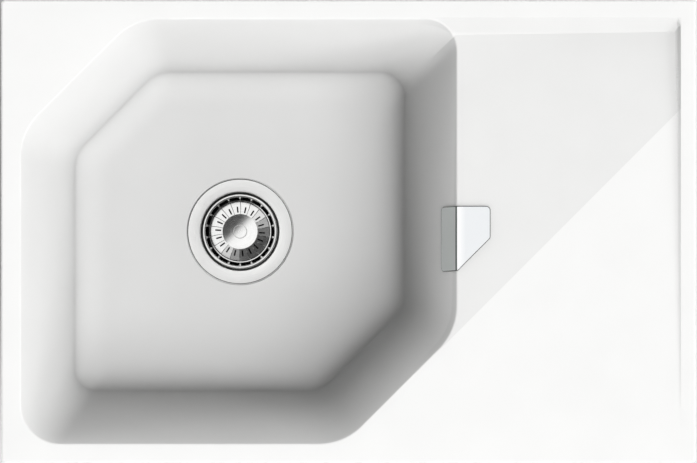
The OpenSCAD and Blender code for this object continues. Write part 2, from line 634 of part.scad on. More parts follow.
// Lean of the bowl's wall just under its edge, and how much more the cover's limb leans
wall_lean = atan(wall_curve * (wall_run - edge_end.x) / (wall_depth - edge_end.y));
limb_lean = 2.1211;
cover_lean = wall_lean + limb_lean;
bend_r = 1;
bend_x = -1.2;
cover_at = [bowl_right, overflow_y];
module on_drainer() {
    translate([cover_at.x, cover_at.y, rim_h - back_fall(cover_at)])
        rotate([-atan(back_slope.y), atan(back_slope.x), 0])
            children();
}
module overflow_cover() color(steel) on_drainer() {
    bend_z = pad_t - bend_r;
    down = [-sin(cover_lean), -cos(cover_lean)];
    out = [-cos(cover_lean), sin(cover_lean)];
    centre = [bend_x, bend_z];
    outer = bend_r + cover_t;
    corner = 4.5;
    intersection() {
        translate([0, cover_w / 2, 0]) rotate([90, 0, 0]) linear_extrude(cover_w) polygon(concat(
            [[cover_flat, pad_t], [cover_flat, pad_t + cover_t]],
            arc(centre, outer, 90, 180 - cover_lean, 5),
            [centre + outer * out + cover_drop * down, centre + bend_r * out + cover_drop * down],
            arc(centre, bend_r, 180 - cover_lean, 90, 5)));
        translate([0, 0, -cover_drop - 10]) linear_extrude(cover_drop + 20) polygon(outline(
            [[-cover_drop, -cover_w / 2], [0, -cover_w / 2], [cover_flat, -cover_w / 2 + cover_flat],
             [cover_flat, cover_w / 2], [-cover_drop, cover_w / 2]],
            [corner, 0.5, corner, corner, corner], 0, rim_steps));
        rotate([0, -90 - cover_lean, 0]) translate([-cover_flat, 0, -cover_w])
            linear_extrude(2 * cover_w) polygon(outline(
                [[0, -cover_w / 2 - over], [cover_flat + cover_drop - 0.6, -cover_w / 2 - over],
                 [cover_flat + cover_drop - 0.6, cover_w / 2 + over], [0, cover_w / 2 + over]],
                [1, corner + 2, corner + 2, 1], 0, rim_steps));
    }
}
module cover_pads() color(rubber) on_drainer()
    for (y = [-cover_w / 6, cover_w / 3])
        translate([cover_flat / 3, y, fit]) cylinder(r = 4.5, h = pad_t - fit);

module overflow_bridge() color(steel) along_x(bridge_x - 2, overflow_y, overflow_z) difference() {
    union() {
        difference() {
            cylinder(r = bridge_r, h = 2);
            translate([0, 0, -over]) cylinder(r = overflow_r, h = 2 + 2 * over);
        }
        cylinder(r = 4.4, h = 2);
        for (a = [0, 90])
            rotate([0, 0, a]) translate([-overflow_r - 1, -1.2, 0]) cube([2 * overflow_r + 2, 2.4, 2]);
    }
    translate([0, 0, -over]) cylinder(r = small_screw_r + gap / 2, h = 2 + 2 * over);
}
small_screw_r = 2;
small_screw_l = 24;
module overflow_screw() color(steel) along_x(bridge_x - 2, overflow_y, overflow_z) difference() {
    union() {
        cylinder(r = small_screw_r, h = small_screw_l);
        translate([0, 0, -2.4]) cylinder(r = 4, h = 2.4);
    }
    translate([-0.6, -5, -2.4 - over]) cube([1.2, 10, 1.2 + over]);
}
elbow_gasket_t = 2;
module overflow_gasket() color(rubber) along_x(boss_x, overflow_y, overflow_z) difference() {
    cylinder(r = overflow_boss_r - 1, h = elbow_gasket_t);
    translate([0, 0, -over]) cylinder(r = overflow_r, h = elbow_gasket_t + 2 * over);
}

// Elbow outside the wall: flange, turn down and threaded end; the middle boss takes the screw
elbow_x = boss_x + elbow_gasket_t;
turn_x = elbow_x + 20;
elbow_r = overflow_r + 3;
elbow_end_z = overflow_z - 26;
union_r = 12.5;
module overflow_elbow() color(plastic) {
    difference() {
        union() {
            along_x(elbow_x, overflow_y, overflow_z) cylinder(r = overflow_boss_r - 1, h = 3.5);
            along_x(elbow_x, overflow_y, overflow_z) cylinder(r = elbow_r, h = turn_x - elbow_x);
            translate([turn_x, overflow_y, overflow_z]) sphere(r = elbow_r);
            translate([turn_x, overflow_y, elbow_end_z]) cylinder(r = elbow_r, h = overflow_z - elbow_end_z);
            translate([turn_x, overflow_y, elbow_end_z]) cylinder(r = union_r, h = 12);
        }
        difference() {
            union() {
                along_x(elbow_x - over, overflow_y, overflow_z) cylinder(r = overflow_r, h = turn_x - elbow_x + over);
                translate([turn_x, overflow_y, overflow_z]) sphere(r = overflow_r);
            }
            along_x(elbow_x, overflow_y, overflow_z) cylinder(r = 4, h = 12);
            translate([elbow_x, overflow_y - 1, overflow_z - overflow_r]) cube([8, 2, 2 * overflow_r]);
        }
        translate([turn_x, overflow_y, elbow_end_z - over])
            cylinder(r = overflow_r, h = overflow_z - elbow_end_z + over);
        along_x(elbow_x - over, overflow_y, overflow_z) cylinder(r = small_screw_r, h = 11);
    }
}

// Ribbed hose: down from the elbow, round a bend, then level to the waste housing
hose_seal_t = 2;
hose_bore_r = hose_r - 3;
rib_h = 1.2;
hose_top = [turn_x, overflow_y, elbow_end_z - hose_seal_t];
hose_end = [inlet_end_x + hose_seal_t, 0, inlet_z];
bend_radius = 62;
drop_l = hose_top.z - (hose_end.z + bend_radius);
bend_l = PI * bend_radius / 2;
level_l = hose_top.x - bend_radius - hose_end.x;
hose_l = drop_l + bend_l + level_l;
hose_cuff = 2 * hose_r;
rib_count = floor((hose_l - 2 * hose_cuff) / hose_pitch);
hose_sides = 8;
// Centre of the hose at a distance s, and the slope of its run there
function hose_slope(s) = 90 * min(1, max(0, (s - drop_l) / bend_l));
function hose_shift(s) = min(1, max(0, (s - drop_l - bend_l) / (level_l - hose_cuff)));
function hose_centre(s) = let (a = hose_slope(s)) [
    hose_top.x - bend_radius * (1 - cos(a)) - max(0, s - drop_l - bend_l),
    hose_top.y + (hose_end.y - hose_top.y) * (1 - cos(180 * hose_shift(s))) / 2,
    hose_top.z - min(s, drop_l) - bend_radius * sin(a)
];
function hose_ring(s, r) = let (c = hose_centre(s), a = hose_slope(s)) [
    for (k = [0:hose_sides - 1])
        let (t = 360 * (k + 0.5) / hose_sides)
        c + r * (cos(t) * [0, 1, 0] + sin(t) * [cos(a), 0, -sin(a)])
];
rib_stations = [
    for (i = [0:rib_count - 1])
        let (s = hose_cuff + (hose_l - 2 * hose_cuff - rib_count * hose_pitch) / 2 + i * hose_pitch)
        each [[s + hose_pitch / 4, hose_r - rib_h], [s + 3 * hose_pitch / 4, hose_r]]
];
hose_skin = concat([[0, hose_r], [hose_cuff, hose_r]], rib_stations, [[hose_l - hose_cuff, hose_r], [hose_l, hose_r]]);
bore_steps = 10;
hose_core = concat(
    [[0, hose_bore_r]],
    [for (i = [0:bore_steps]) [drop_l + bend_l * i / bore_steps, hose_bore_r]],
    [for (i = [1:4]) [drop_l + bend_l + level_l * i / 4, hose_bore_r]]);
function tube_faces(start, rings, n, inward) = [
    for (i = [0:rings - 2], k = [0:n - 1])
        let (
            a = start + i * n + k,
            b = start + i * n + (k + 1) % n,
            c = b + n,
            d = a + n)
        each inward ? [[a, c, b], [a, d, c]] : [[a, b, c], [a, c, d]]
];
module overflow_hose() color(plastic) {
    n = hose_sides;
    skin = len(hose_skin);
    core = len(hose_core);
    first_core = skin * n;
    last_skin = (skin - 1) * n;
    last_core = first_core + (core - 1) * n;
    points = concat(
        [for (s = hose_skin) each hose_ring(s[0], s[1])],
        [for (s = hose_core) each hose_ring(s[0], s[1])]);
    polyhedron(points, concat(
        tube_faces(0, skin, n, false),
        tube_faces(first_core, core, n, true),
        [for (k = [0:n - 1]) let (j = (k + 1) % n) each [
            [j, k, first_core + k], [j, first_core + k, first_core + j],
            [last_skin + k, last_skin + j, last_core + k], [last_skin + j, last_core + j, last_core + k]]]),
        convexity = 6);
}

// Union nut: threaded over the spigot, closed in on the hose's cuff
nut_l = 20;
grip_count = 10;
module union_nut() difference() {
    union() {
        cylinder(r = union_r + 2.6, h = nut_l);
        for (i = [0:grip_count - 1])
            rotate([0, 0, 360 * i / grip_count]) translate([union_r + 1.6, -1.4, 2]) cube([2.4, 2.8, nut_l - 6]);
    }
    translate([0, 0, -over]) cylinder(r = union_r, h = nut_l - 8 + over);
    translate([0, 0, -over]) cylinder(r = hose_r + gap, h = nut_l + 2 * over);
}
module hose_nut_top() color(plastic) translate([hose_top.x, hose_top.y, hose_top.z + nut_l - 8]) rotate([180, 0, 0])
    union_nut();
module hose_nut_bottom() color(plastic) along_x(hose_end.x - nut_l + 8, 0, hose_end.z) union_nut();
module hose_seal() difference() {
    cylinder(r = union_r - gap, h = hose_seal_t);
    translate([0, 0, -over]) cylinder(r = overflow_r, h = hose_seal_t + 2 * over);
}
module hose_seals() color(rubber) {
    translate(hose_top) hose_seal();
    along_x(inlet_end_x, 0, hose_end.z) hose_seal();
}

// Clip hardware. An arm is stowed along the edge and turns out under the worktop.
screw_l = 30.5;
module at_clips() {
    for (c = clip_places) translate([c.x, c.y, 0]) children();
}
arm_top = -lug_h - gap;
arm_foot = -worktop_t - 8;
arm_w = 11;
module clip_inserts() color(brass_tone) at_clips() translate([0, 0, -lug_h]) difference() {
    cylinder(r = insert_r, h = insert_l);
    translate([0, 0, -over]) cylinder(r = screw_r, h = insert_l + 2 * over);
}
washer_h = 1.2;
module clip_screws() color(steel) at_clips() {
    translate([0, 0, arm_foot - gap - washer_h]) difference() {
        union() {
            cylinder(r = screw_r, h = screw_l);
            translate([0, 0, -3]) cylinder(r = 2 * screw_r, h = 3);
        }
        translate([0, 0, -3 - over]) cylinder(r = 1.6, h = 2 + over, $fn = 6);
    }
}
module clip_washers() color(steel) at_clips() translate([0, 0, arm_foot - gap - washer_h]) difference() {
    cylinder(r = lug_r - 0.5, h = washer_h);
    translate([0, 0, -over]) cylinder(r = screw_r, h = washer_h + 2 * over);
}
module clip(i) color(plastic) {
    place = clip_places[i];
    translate([place.x, place.y, 0]) rotate([0, 0, place[2] - 90]) difference() {
        union() {
            translate([0, 0, arm_foot]) cylinder(r = lug_r, h = arm_top - arm_foot);
            translate([0, arm_w / 2, 0]) rotate([90, 0, 0]) linear_extrude(arm_w) polygon([
                [0, arm_foot], [clip_l, arm_foot], [clip_l, -worktop_t - gap], [clip_l - 5, -worktop_t - gap],
                [clip_l - 7, arm_foot + 4], [lug_r + 3, arm_foot + 5], [lug_r - 1, arm_foot + 12],
                [0, arm_foot + 12]]);
            for (x = [clip_l - 1.2, clip_l - 3.8])
                translate([x, 0, -worktop_t - gap - 0.4]) rotate([90, 0, 0])
                    cylinder(r = 0.8, h = arm_w, center = true, $fn = 24);
        }
        translate([0, 0, arm_foot - over]) cylinder(r = screw_r + fit, h = arm_top - arm_foot + 2 * over);
    }
}

sink_body();
rim_seal();
strainer_flange();
flange_gasket();
waste_gasket();
waste_housing();
housing_insert();
fixing_screw();
basket();
basket_knob();
knob_cap();
basket_stem();
basket_washer();
basket_plug();
click_ring();
overflow_cover();
cover_pads();
overflow_bridge();
overflow_screw();
overflow_gasket();
overflow_elbow();
overflow_hose();
hose_nut_top();
hose_nut_bottom();
hose_seals();
clip_inserts();
clip_screws();
clip_washers();
clip(0);  // clip_1
clip(1);  // clip_2
clip(2);  // clip_3
clip(3);  // clip_4
clip(4);  // clip_5
clip(5);  // clip_6
clip(6);  // clip_7
clip(7);  // clip_8
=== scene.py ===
import math

import bmesh
import bpy
from mathutils import Euler, Matrix, Vector
from mathutils.geometry import delaunay_2d_cdt


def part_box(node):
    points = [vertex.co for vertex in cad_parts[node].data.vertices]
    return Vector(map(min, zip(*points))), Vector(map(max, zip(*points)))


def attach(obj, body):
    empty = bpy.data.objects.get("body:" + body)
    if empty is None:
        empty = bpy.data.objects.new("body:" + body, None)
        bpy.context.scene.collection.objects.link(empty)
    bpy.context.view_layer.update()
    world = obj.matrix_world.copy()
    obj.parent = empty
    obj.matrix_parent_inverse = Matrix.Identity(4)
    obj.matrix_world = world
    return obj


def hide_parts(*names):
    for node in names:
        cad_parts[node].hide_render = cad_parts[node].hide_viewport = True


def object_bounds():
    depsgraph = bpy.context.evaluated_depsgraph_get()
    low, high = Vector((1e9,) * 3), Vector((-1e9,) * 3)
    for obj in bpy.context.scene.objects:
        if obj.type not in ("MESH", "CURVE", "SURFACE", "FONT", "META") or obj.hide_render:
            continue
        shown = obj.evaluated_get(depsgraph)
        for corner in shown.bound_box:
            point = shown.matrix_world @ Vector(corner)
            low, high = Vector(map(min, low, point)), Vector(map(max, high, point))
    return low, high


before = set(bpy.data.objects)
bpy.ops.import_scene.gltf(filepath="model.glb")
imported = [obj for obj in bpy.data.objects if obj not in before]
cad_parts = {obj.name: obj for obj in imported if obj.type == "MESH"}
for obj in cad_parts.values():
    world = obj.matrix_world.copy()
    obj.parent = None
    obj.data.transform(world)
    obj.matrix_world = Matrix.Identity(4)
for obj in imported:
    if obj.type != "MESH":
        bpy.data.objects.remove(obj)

# Sizes are in millimetres, angles in degrees, and the pieces become metres when their meshes are made.
MM = 0.001
cad_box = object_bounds()


def box_mm(node):
    """Lowest and highest corner of a CAD node in millimetres."""
    low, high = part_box(node)
    return low / MM, high / MM


# Sink: overall sizes from the CAD node's box, the rest as the moulding was drawn
sink_low, sink_high = box_mm("sink_body")
sink_l = sink_high.x - sink_low.x
sink_w = sink_high.y - sink_low.y
rim_h = sink_high.z
rim_corner_r = 4
rim_round = 2.4
wall = 9
rim_left = 19.5
rim_right = 16
bowl_l = 474
bowl_w = 462
bowl_depth = 190
bowl_cut = 123
cut_r = 68
front_r = 43
back_r = 34
edge_r = 2.5
edge_turn = 62
wall_run = 57
wall_curve = 1.4
foot_run = 35
foot_h = 30
floor_fall = 4
radius_fade = 130
least_r = 12
fall_bowl = 13
fall_right = 9
drainer_front = 36
drainer_corner_r = 7
roll_r = 14

bowl_left = -sink_l / 2 + rim_left
bowl_right = bowl_left + bowl_l
bowl_back = bowl_w / 2
drainer_right = sink_l / 2 - rim_right
waste_x = (bowl_left + bowl_right) / 2
floor_z = rim_h - bowl_depth

# Waste
flange_r = 57.3
cup_r = 43
waste_hole_r = 45
seat_depth = 1.5
waste_flat_r = flange_r + 5
waste_boss_r = flange_r + 7
flange_z = floor_z + 0.5
boss_z = floor_z - wall - 5
basket_r = 41.1
basket_z = flange_z - 1.6
basket_floor_z = basket_z - 21
slot_count = 18
knob_r = 19.3
cap_r = 7.6
stem_r = 3

# Overflow
overflow_y = -7.6
overflow_z = -18.5
overflow_r = 7
overflow_boss_r = overflow_r + 6.5
bridge_x = bowl_right - 6.5
boss_x = bowl_right + 5.5
cover_w = 70
cover_flat = 34.8
cover_drop = 33
cover_lean = 28.5
cover_t = 1
pad_t = 0.8

# Clips: places of their lugs
clip_in = 18
clip_x = sink_l / 2 - clip_in
clip_y = sink_w / 2 - clip_in
clip_places = [(-clip_x, 40), (-clip_x, -120), (-120, clip_y), (230, clip_y),
               (clip_x, 60), (clip_x, -120), (-200, -clip_y), (200, -clip_y)]
lug_r = 6.5
lug_h = 22


def linear(hex_text):
    """A colour written as sRGB hex, as the linear numbers that a shader takes."""
    values = [int(hex_text[i:i + 2], 16) / 255 for i in (1, 3, 5)]
    return [v / 12.92 if v <= 0.04045 else ((v + 0.055) / 1.055) ** 2.4 for v in values] + [1.0]


def add(tree, kind, links=None, give=0, **settings):
    """Adds a node and returns the output that give names, or the node itself where give is None.

    links gives an input's name or number a value or another node's output.
    """
    node = tree.nodes.new(kind)
    for name, value in settings.items():
        setattr(node, name, value)
    for key, value in (links or {}).items():
        if isinstance(value, bpy.types.NodeSocket):
            tree.links.new(value, node.inputs[key])
        else:
            node.inputs[key].default_value = value
    return node if give is None else node.outputs[give]


# Kinds of node that come up often. A range is: value, from low, from high, to low, to high.
MATH = "ShaderNodeMath"
VECTOR = "ShaderNodeVectorMath"
RANGE = "ShaderNodeMapRange"
SPLIT = "ShaderNodeSeparateXYZ"
JOIN = "ShaderNodeCombineXYZ"
NOISE = "ShaderNodeTexNoise"
MIX = "ShaderNodeMix"
COLOURS = {"give": 2, "data_type": "RGBA"}  # A Mix of the colours at inputs 6 and 7
TIMES, PLUS = {"operation": "MULTIPLY"}, {"operation": "ADD"}


def finish(name, surface):
    """A material. surface gives the shader's inputs from the tree and the place on the piece."""
    material = bpy.data.materials.new(name)
    material.use_nodes = True
    tree = material.node_tree
    tree.nodes.clear()
    place = add(tree, "ShaderNodeTexCoord", give="Object")
    shader = add(tree, "ShaderNodeBsdfPrincipled", surface(tree, place))
    add(tree, "ShaderNodeOutputMaterial", {"Surface": shader}, None)
    return material


def patterned(tree, pattern, dark, light, rough, depth, strength=0.3, clouds=None):
    """Inputs of a surface whose colour, gloss and relief follow one pattern, or whose colour follows clouds.

    rough is a range of roughness, and depth is the relief in millimetres.
    """
    share = add(tree, RANGE, {0: clouds or pattern, 1: 0.3, 2: 0.7})
    return {
        "Base Color": add(tree, MIX, {0: share, 6: linear(dark), 7: linear(light)}, **COLOURS),
        "Roughness": add(tree, RANGE, {0: pattern, 1: 0.3, 2: 0.7, 3: rough[0], 4: rough[1]}),
        "Normal": add(tree, "ShaderNodeBump", {
            "Height": pattern, "Strength": strength, "Distance": depth * MM}),
    }


def painted_shade_pan(tree, place):
    """Share that is 1 behind the drainer's crease, inside its walls, and 0 elsewhere: where painted shade
    greys the resin.
    """
    diagonal = math.sqrt(0.5)
    in_front = add(tree, VECTOR, {0: place, 1: (diagonal, -diagonal, 0)}, "Value", operation="DOT_PRODUCT")
    crease_at = diagonal * (bowl_right + bowl_back - bowl_cut)
    x, y, z = add(tree, SPLIT, {0: place}, None).outputs
    share = 1.0
    for value, low, high, first in (
            (in_front, crease_at - 0.4, crease_at + 0.4, 1), (x, bowl_right - 50, bowl_right - 15, 0),
            (z, rim_h - 13, rim_h - 10, 0), (x, drainer_right - 1, drainer_right + 1.2, 1),
            (y, bowl_back - 1, bowl_back + 1, 1)):
        side = add(tree, RANGE, {0: value, 1: low * MM, 2: high * MM, 3: first, 4: 1 - first})
        share = add(tree, MATH, {0: share, 1: side}, **TIMES)
    return share


def cast_resin(tree, place):
    """Stone-filled acrylic resin, moulded: white all through, silky, with a mottle that is only just seen."""
    grain_mm, cloud_mm = 0.9, 60
    grain = add(tree, NOISE, {"Vector": place, "Scale": 1 / (grain_mm * MM), "Detail": 3, "Roughness": 0.6})
    inputs = patterned(tree, grain, "#F1F1F0", "#F4F4F3", (0.42, 0.5), 0.03, 0.25)
    cloud = add(tree, NOISE, {"Vector": place, "Scale": 1 / (cloud_mm * MM)})
    mottle = add(tree, MATH, {0: grain, 1: cloud}, **PLUS)
    share = add(tree, RANGE, {0: mottle, 1: 0.7, 2: 1.3})
    rim = add(tree, MIX, {0: share, 6: linear("#F1F1F0"), 7: linear("#F4F4F3")}, **COLOURS)
    # Painted shade: the drainer's back plane, which slopes away from the light, is painted a touch greyer
    # than the rim
    pan = add(tree, MIX, {0: share, 6: linear("#E7E7E6"), 7: linear("#EAEAE9")}, **COLOURS)
    white = add(tree, MIX, {0: painted_shade_pan(tree, place), 6: rim, 7: pan}, **COLOURS)
    # Light that has bounced once is held down, so that the white bowl keeps its shading
    bounced = add(tree, "ShaderNodeLightPath", give="Is Diffuse Ray")
    inputs["Base Color"] = add(tree, MIX, {0: bounced, 6: white, 7: linear("#5A5A59")}, **COLOURS)
    return {**inputs, "IOR": 1.5}


def spun(dark, light, rough, line_mm, depth, cup_shade=None):
    """Stainless steel spun on a lathe: fine rings about the waste's axis.

    The last argument is a level, and the dark colour painted below it: painted shade in the deep cup.
    """
    def surface(tree, place):
        shifted = add(tree, "ShaderNodeMapping", {"Vector": place, "Location": (-waste_x * MM, 0, 0)})
        x, y, height = add(tree, SPLIT, {0: shifted}, None).outputs
        reach = add(tree, VECTOR, {0: add(tree, VECTOR, {0: shifted, 1: (1, 1, 0)}, **TIMES)}, "Value",
                    operation="LENGTH")
        turn = add(tree, MATH, {0: y, 1: x}, operation="ARCTAN2")
        # At the knob's edge a mark is about thirty times as long round the axis as it is wide
        stretch = 0.03
        along = add(tree, MATH, {0: turn, 1: knob_r * MM * stretch}, **TIMES)
        squeezed = add(tree, JOIN, {0: reach, 1: along, 2: height})
        rings = add(tree, NOISE, {
            "Vector": squeezed, "Scale": 1 / (line_mm * MM), "Detail": 3, "Roughness": 0.7})
        inputs = patterned(tree, rings, dark, light, rough, depth)
        if cup_shade:
            level, cup_shade_colour = cup_shade
            # Below the level the steel takes the dark colour: painted shade in the deep cup
            under = add(tree, RANGE, {0: height, 1: (level - 1.5) * MM, 2: level * MM, 3: 1, 4: 0})
            colour = add(tree, MIX, {0: under, 6: inputs["Base Color"], 7: linear(cup_shade_colour)}, **COLOURS)
            # Painted shade: a thin dark line is painted round the flange's rolled edge against the resin
            painted_edge_shade = add(tree, RANGE, {0: reach, 1: (flange_r - 0.9) * MM, 2: (flange_r - 0.6) * MM})
            inputs["Base Color"] = add(tree, MIX, {0: painted_edge_shade, 6: colour, 7: linear("#6E6F6E")}, **COLOURS)
        handled_mm = 9
        marks = add(tree, NOISE, {"Vector": place, "Scale": 1 / (handled_mm * MM)})
        marks = add(tree, RANGE, {0: marks, 1: 0.3, 2: 0.7, 3: -0.02, 4: 0.03})
        inputs["Roughness"] = add(tree, MATH, {0: inputs["Roughness"], 1: marks}, **PLUS)
        return {**inputs, "Metallic": 1.0}
    return surface


def belt_sheet(tree, place):
    """Stainless sheet with a satin belt finish: short lines along the fold."""
    line_mm = 0.35
    drawn = add(tree, "ShaderNodeMapping", {"Vector": place, "Scale": (1, 0.04, 1)})
    lines = add(tree, NOISE, {"Vector": drawn, "Scale": 1 / (line_mm * MM), "Detail": 3, "Roughness": 0.7})
    inputs = patterned(tree, lines, "#BABEBD", "#C4C7C6", (0.42, 0.52), 0.01, 0.2)
    across = add(tree, SPLIT, {0: place})
    # Painted shade: the outside of the fold is painted dark, and the limb in the bowl darker than the top one
    steps = [(-3.2, -2.9, 0), (-1.4, -1.0, 1), (-3, -2, 0), (-1, 8, 0)]
    fold_start, fold_end, top_limb, away = [add(tree, RANGE, {
        0: across, 1: (bowl_right + low) * MM, 2: (bowl_right + high) * MM, 3: first, 4: 1 - first})
        for low, high, first in steps]
    fold = add(tree, MATH, {0: fold_start, 1: fold_end}, **TIMES)
    # Painted highlight: the top limb turns white beside the fold
    pale = add(tree, MIX, {0: away, 6: linear("#FFFFFF"), 7: linear("#ECEEF0")}, **COLOURS)
    lit_and_shaded_limbs = add(tree, MIX, {0: top_limb, 6: inputs["Base Color"], 7: pale}, **COLOURS)
    inputs["Base Color"] = add(tree, MIX, {0: fold, 6: lit_and_shaded_limbs, 7: linear("#565A59")}, **COLOURS)
    return {**inputs, "Metallic": add(tree, RANGE, {0: fold, 1: 0, 2: 1, 3: 0.8, 4: 1.0})}


def machined(dark, light, rough, spots_mm):
    """Turned or rolled metal of a screw, insert or plate: even, with faint handling marks."""
    def surface(tree, place):
        marks = add(tree, NOISE, {
            "Vector": place, "Scale": 1 / (spots_mm * MM), "Detail": 3, "Roughness": 0.6})
        gloss = (rough - 0.05, rough + 0.08)
        return {**patterned(tree, marks, dark, light, gloss, 0.02, 0.15), "Metallic": 1.0}
    return surface


def moulded(dark, light, rough, grain_mm, depth):
    """Injection-moulded plastic or rubber: one colour in soft clouds, with its mould's fine spark texture."""
    def surface(tree, place):
        cloud_mm = 22
        spark = add(tree, NOISE, {"Vector": place, "Scale": 1 / (grain_mm * MM)})
        cloud = add(tree, NOISE, {"Vector": place, "Scale": 1 / (cloud_mm * MM)})
        gloss = (rough - 0.05, rough + 0.06)
        return {**patterned(tree, spark, dark, light, gloss, depth, clouds=cloud), "IOR": 1.49}
    return surface


resin = finish("stone_filled_resin_moulded", cast_resin)
# Brushed pale, so that the flange stays light against the resin. The deep-drawn cup under its ledge is
# painted dark as painted shade, which makes the waste read as deep
satin_steel = finish("stainless_steel_spun_satin", spun(
    "#F1F1F0", "#FCFCFB", (0.5, 0.58), 0.5, 0.012, (flange_z - 1.2, "#565756")))
# Polished after spinning: the basket mirrors light and dark side by side
bright_steel = finish("stainless_steel_polished", spun("#C9C9C8", "#D8D8D7", (0.09, 0.15), 0.6, 0.002))
# Finely turned: the dished knob blurs what it mirrors
knob_steel = finish("stainless_steel_turned_fine", spun("#D2D2D1", "#DEDEDD", (0.2, 0.26), 0.5, 0.002))
# Belt finish: an even sheen. The change in colour from limb to limb and the dark fold are painted shade,
# and a painted highlight runs beside the fold
cover_steel = finish("stainless_sheet_satin", belt_sheet)
# The cut round the sheet and a narrow strip beside it, painted dark: painted shade that outlines the cover
outline_shade_steel = finish("stainless_sheet_outline_shade", machined("#343837", "#3E4241", 0.5, 0.6))
# Zinc plating: bluish, slightly dull
zinc_steel = finish("steel_zinc_plated", machined("#AEB1B2", "#C4C6C6", 0.3, 1.5))
# Bright turned steel of the hidden fasteners
plain_steel = finish("stainless_steel_turned", machined("#BEBEBC", "#CFCFCD", 0.22, 2.5))
# Bare machined brass: warm yellow
brass = finish("brass_machined", machined("#C29C4C", "#D8B565", 0.28, 1.2))
# Moulded nitrile rubber: dull black, slightly dusty
rubber = finish("nitrile_rubber_moulded", moulded("#191919", "#242424", 0.7, 0.5, 0.03))
# Closed-cell foam strip: grey, with open specks where the cells are cut
seal_foam = finish("polyethylene_foam_strip", moulded("#56585A", "#6A6C6E", 0.85, 0.8, 0.15))
# Polypropylene waste body: satin black-grey
waste_plastic = finish("polypropylene_moulded", moulded("#303234", "#3B3D3F", 0.42, 0.6, 0.02))
# Polyethylene bellows hose: waxy grey
hose_plastic = finish("polyethylene_bellows", moulded("#A6A9AA", "#B4B7B8", 0.38, 0.9, 0.015))
# Glass-filled nylon clip: matt grey
clip_plastic = finish("nylon_glass_filled", moulded("#7E8183", "#8D9092", 0.5, 0.45, 0.03))
# Painted board under the sink: matt and pale, so that the shadow shows
board = finish("painted_board_matt", lambda tree, place: {"Roughness": 0.8, "Base Color": add(tree, MIX, {
    0: add(tree, NOISE, {"Vector": place, "Scale": 1 / (14 * MM), "Detail": 3}),
    6: linear("#E9E9E8"), 7: linear("#EDEDEC")}, **COLOURS)})


def form_object(name, form, material):
    """An object from points in millimetres and faces, with doubles merged and faces turned outwards."""
    points, faces = form
    mesh = bpy.data.meshes.new(name)
    mesh.from_pydata([tuple(c * MM for c in p) for p in points], [], faces)
    shell = bmesh.new()
    shell.from_mesh(mesh)
    bmesh.ops.remove_doubles(shell, verts=shell.verts, dist=1e-7)
    bmesh.ops.recalc_face_normals(shell, faces=shell.faces)
    shell.to_mesh(mesh)
    shell.free()
    mesh.materials.append(material)
    piece = bpy.data.objects.new(name, mesh)
    bpy.context.scene.collection.objects.link(piece)
    return piece


def settle(piece):
    """Turns a piece with modifiers into a plain mesh."""
    bpy.context.view_layer.update()
    made = bpy.data.meshes.new_from_object(piece.evaluated_get(bpy.context.evaluated_depsgraph_get()))
    made.name = piece.name
    piece.modifiers.clear()
    piece.data = made
    return piece


def shade(piece, sharp):
    """Smooth shading that breaks at edges sharper than an angle."""
    piece.data.shade_smooth()
    piece.data.set_sharp_from_angle(angle=math.radians(sharp))
    return piece


def bevelled(piece, width, sharp):
    """Breaks a piece's sharp edges by a small round."""
    bevel = piece.modifiers.new("edge_round", "BEVEL")
    bevel.width = width * MM
    bevel.segments = 2
    bevel.limit_method = "ANGLE"
    bevel.angle_limit = math.radians(sharp)
    settle(piece)
    piece.data.shade_smooth()
    weigh = piece.modifiers.new("face_normals", "WEIGHTED_NORMAL")
    weigh.weight = 100
    return settle(piece)


def place_piece(piece, body, slot, *nodes):
    """Rides a finished piece on its body and hides the CAD nodes that it stands for. slot is not used."""
    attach(piece, body)
    if nodes:
        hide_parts(*nodes)
    return piece


def joined(*forms):
    """Several forms as one."""
    points, faces = [], []
    for more_points, more_faces in forms:
        faces += [[i + len(points) for i in face] for face in more_faces]
        points += [tuple(p) for p in more_points]
    return points, faces


def moved(form, matrix):
    """A form carried by a matrix."""
    return [tuple(matrix @ Vector(p)) for p in form[0]], form[1]


def shift(x=0, y=0, z=0):
    """The matrix that moves a form."""
    return Matrix.Translation((x, y, z))


def turned(degrees, axis="Z"):
    """The matrix that turns a form."""
    return Matrix.Rotation(math.radians(degrees), 4, axis)


# Carries a form's Z axis onto X
ALONG_X = Matrix.Rotation(math.radians(90), 4, "Y")


def polar(r, a):
    """The point at a reach and an angle in radians."""
    return Vector((r * math.cos(a), r * math.sin(a)))


def filleted(corners, steps=4):
    """Rounds an outline. Each corner is x, y and a radius."""
    points = []
    for i, (x, y, r) in enumerate(corners):
        here = Vector((x, y))
        if not r:
            points.append(here)
            continue
        back = (Vector(corners[i - 1][:2]) - here).normalized()
        ahead = (Vector(corners[(i + 1) % len(corners)][:2]) - here).normalized()
        half = back.angle(ahead) / 2
        centre = here + (back + ahead).normalized() * r / math.sin(half)
        first = here + back * r / math.tan(half) - centre
        last = here + ahead * r / math.tan(half) - centre
        start = math.atan2(first.y, first.x)
        sweep = (math.atan2(last.y, last.x) - start + math.pi) % (2 * math.pi) - math.pi
        points += [centre + polar(r, start + sweep * k / steps) for k in range(steps + 1)]
    return points


def lathe(profile, segments, x=0, y=0):
    """A closed profile of radius and height, turned about Z."""
    points, faces, rows = [], [], []
    for r, h in profile:
        if r < 1e-6:
            rows.append([len(points)])
            points.append((x, y, h))
        else:
            rows.append(list(range(len(points), len(points) + segments)))
            ring = [polar(r, 2 * math.pi * k / segments) for k in range(segments)]
            points += [(x + p.x, y + p.y, h) for p in ring]
    for a, b in zip(rows, rows[1:] + rows[:1]):
        if len(a) == len(b) == 1:
            continue
        for k in range(segments):
            j = (k + 1) % segments
            quad = [a[k % len(a)], a[j % len(a)], b[j % len(b)], b[k % len(b)]]
            faces.append(list(dict.fromkeys(quad)))  # A triangle where one end is a point on the axis
    return points, faces


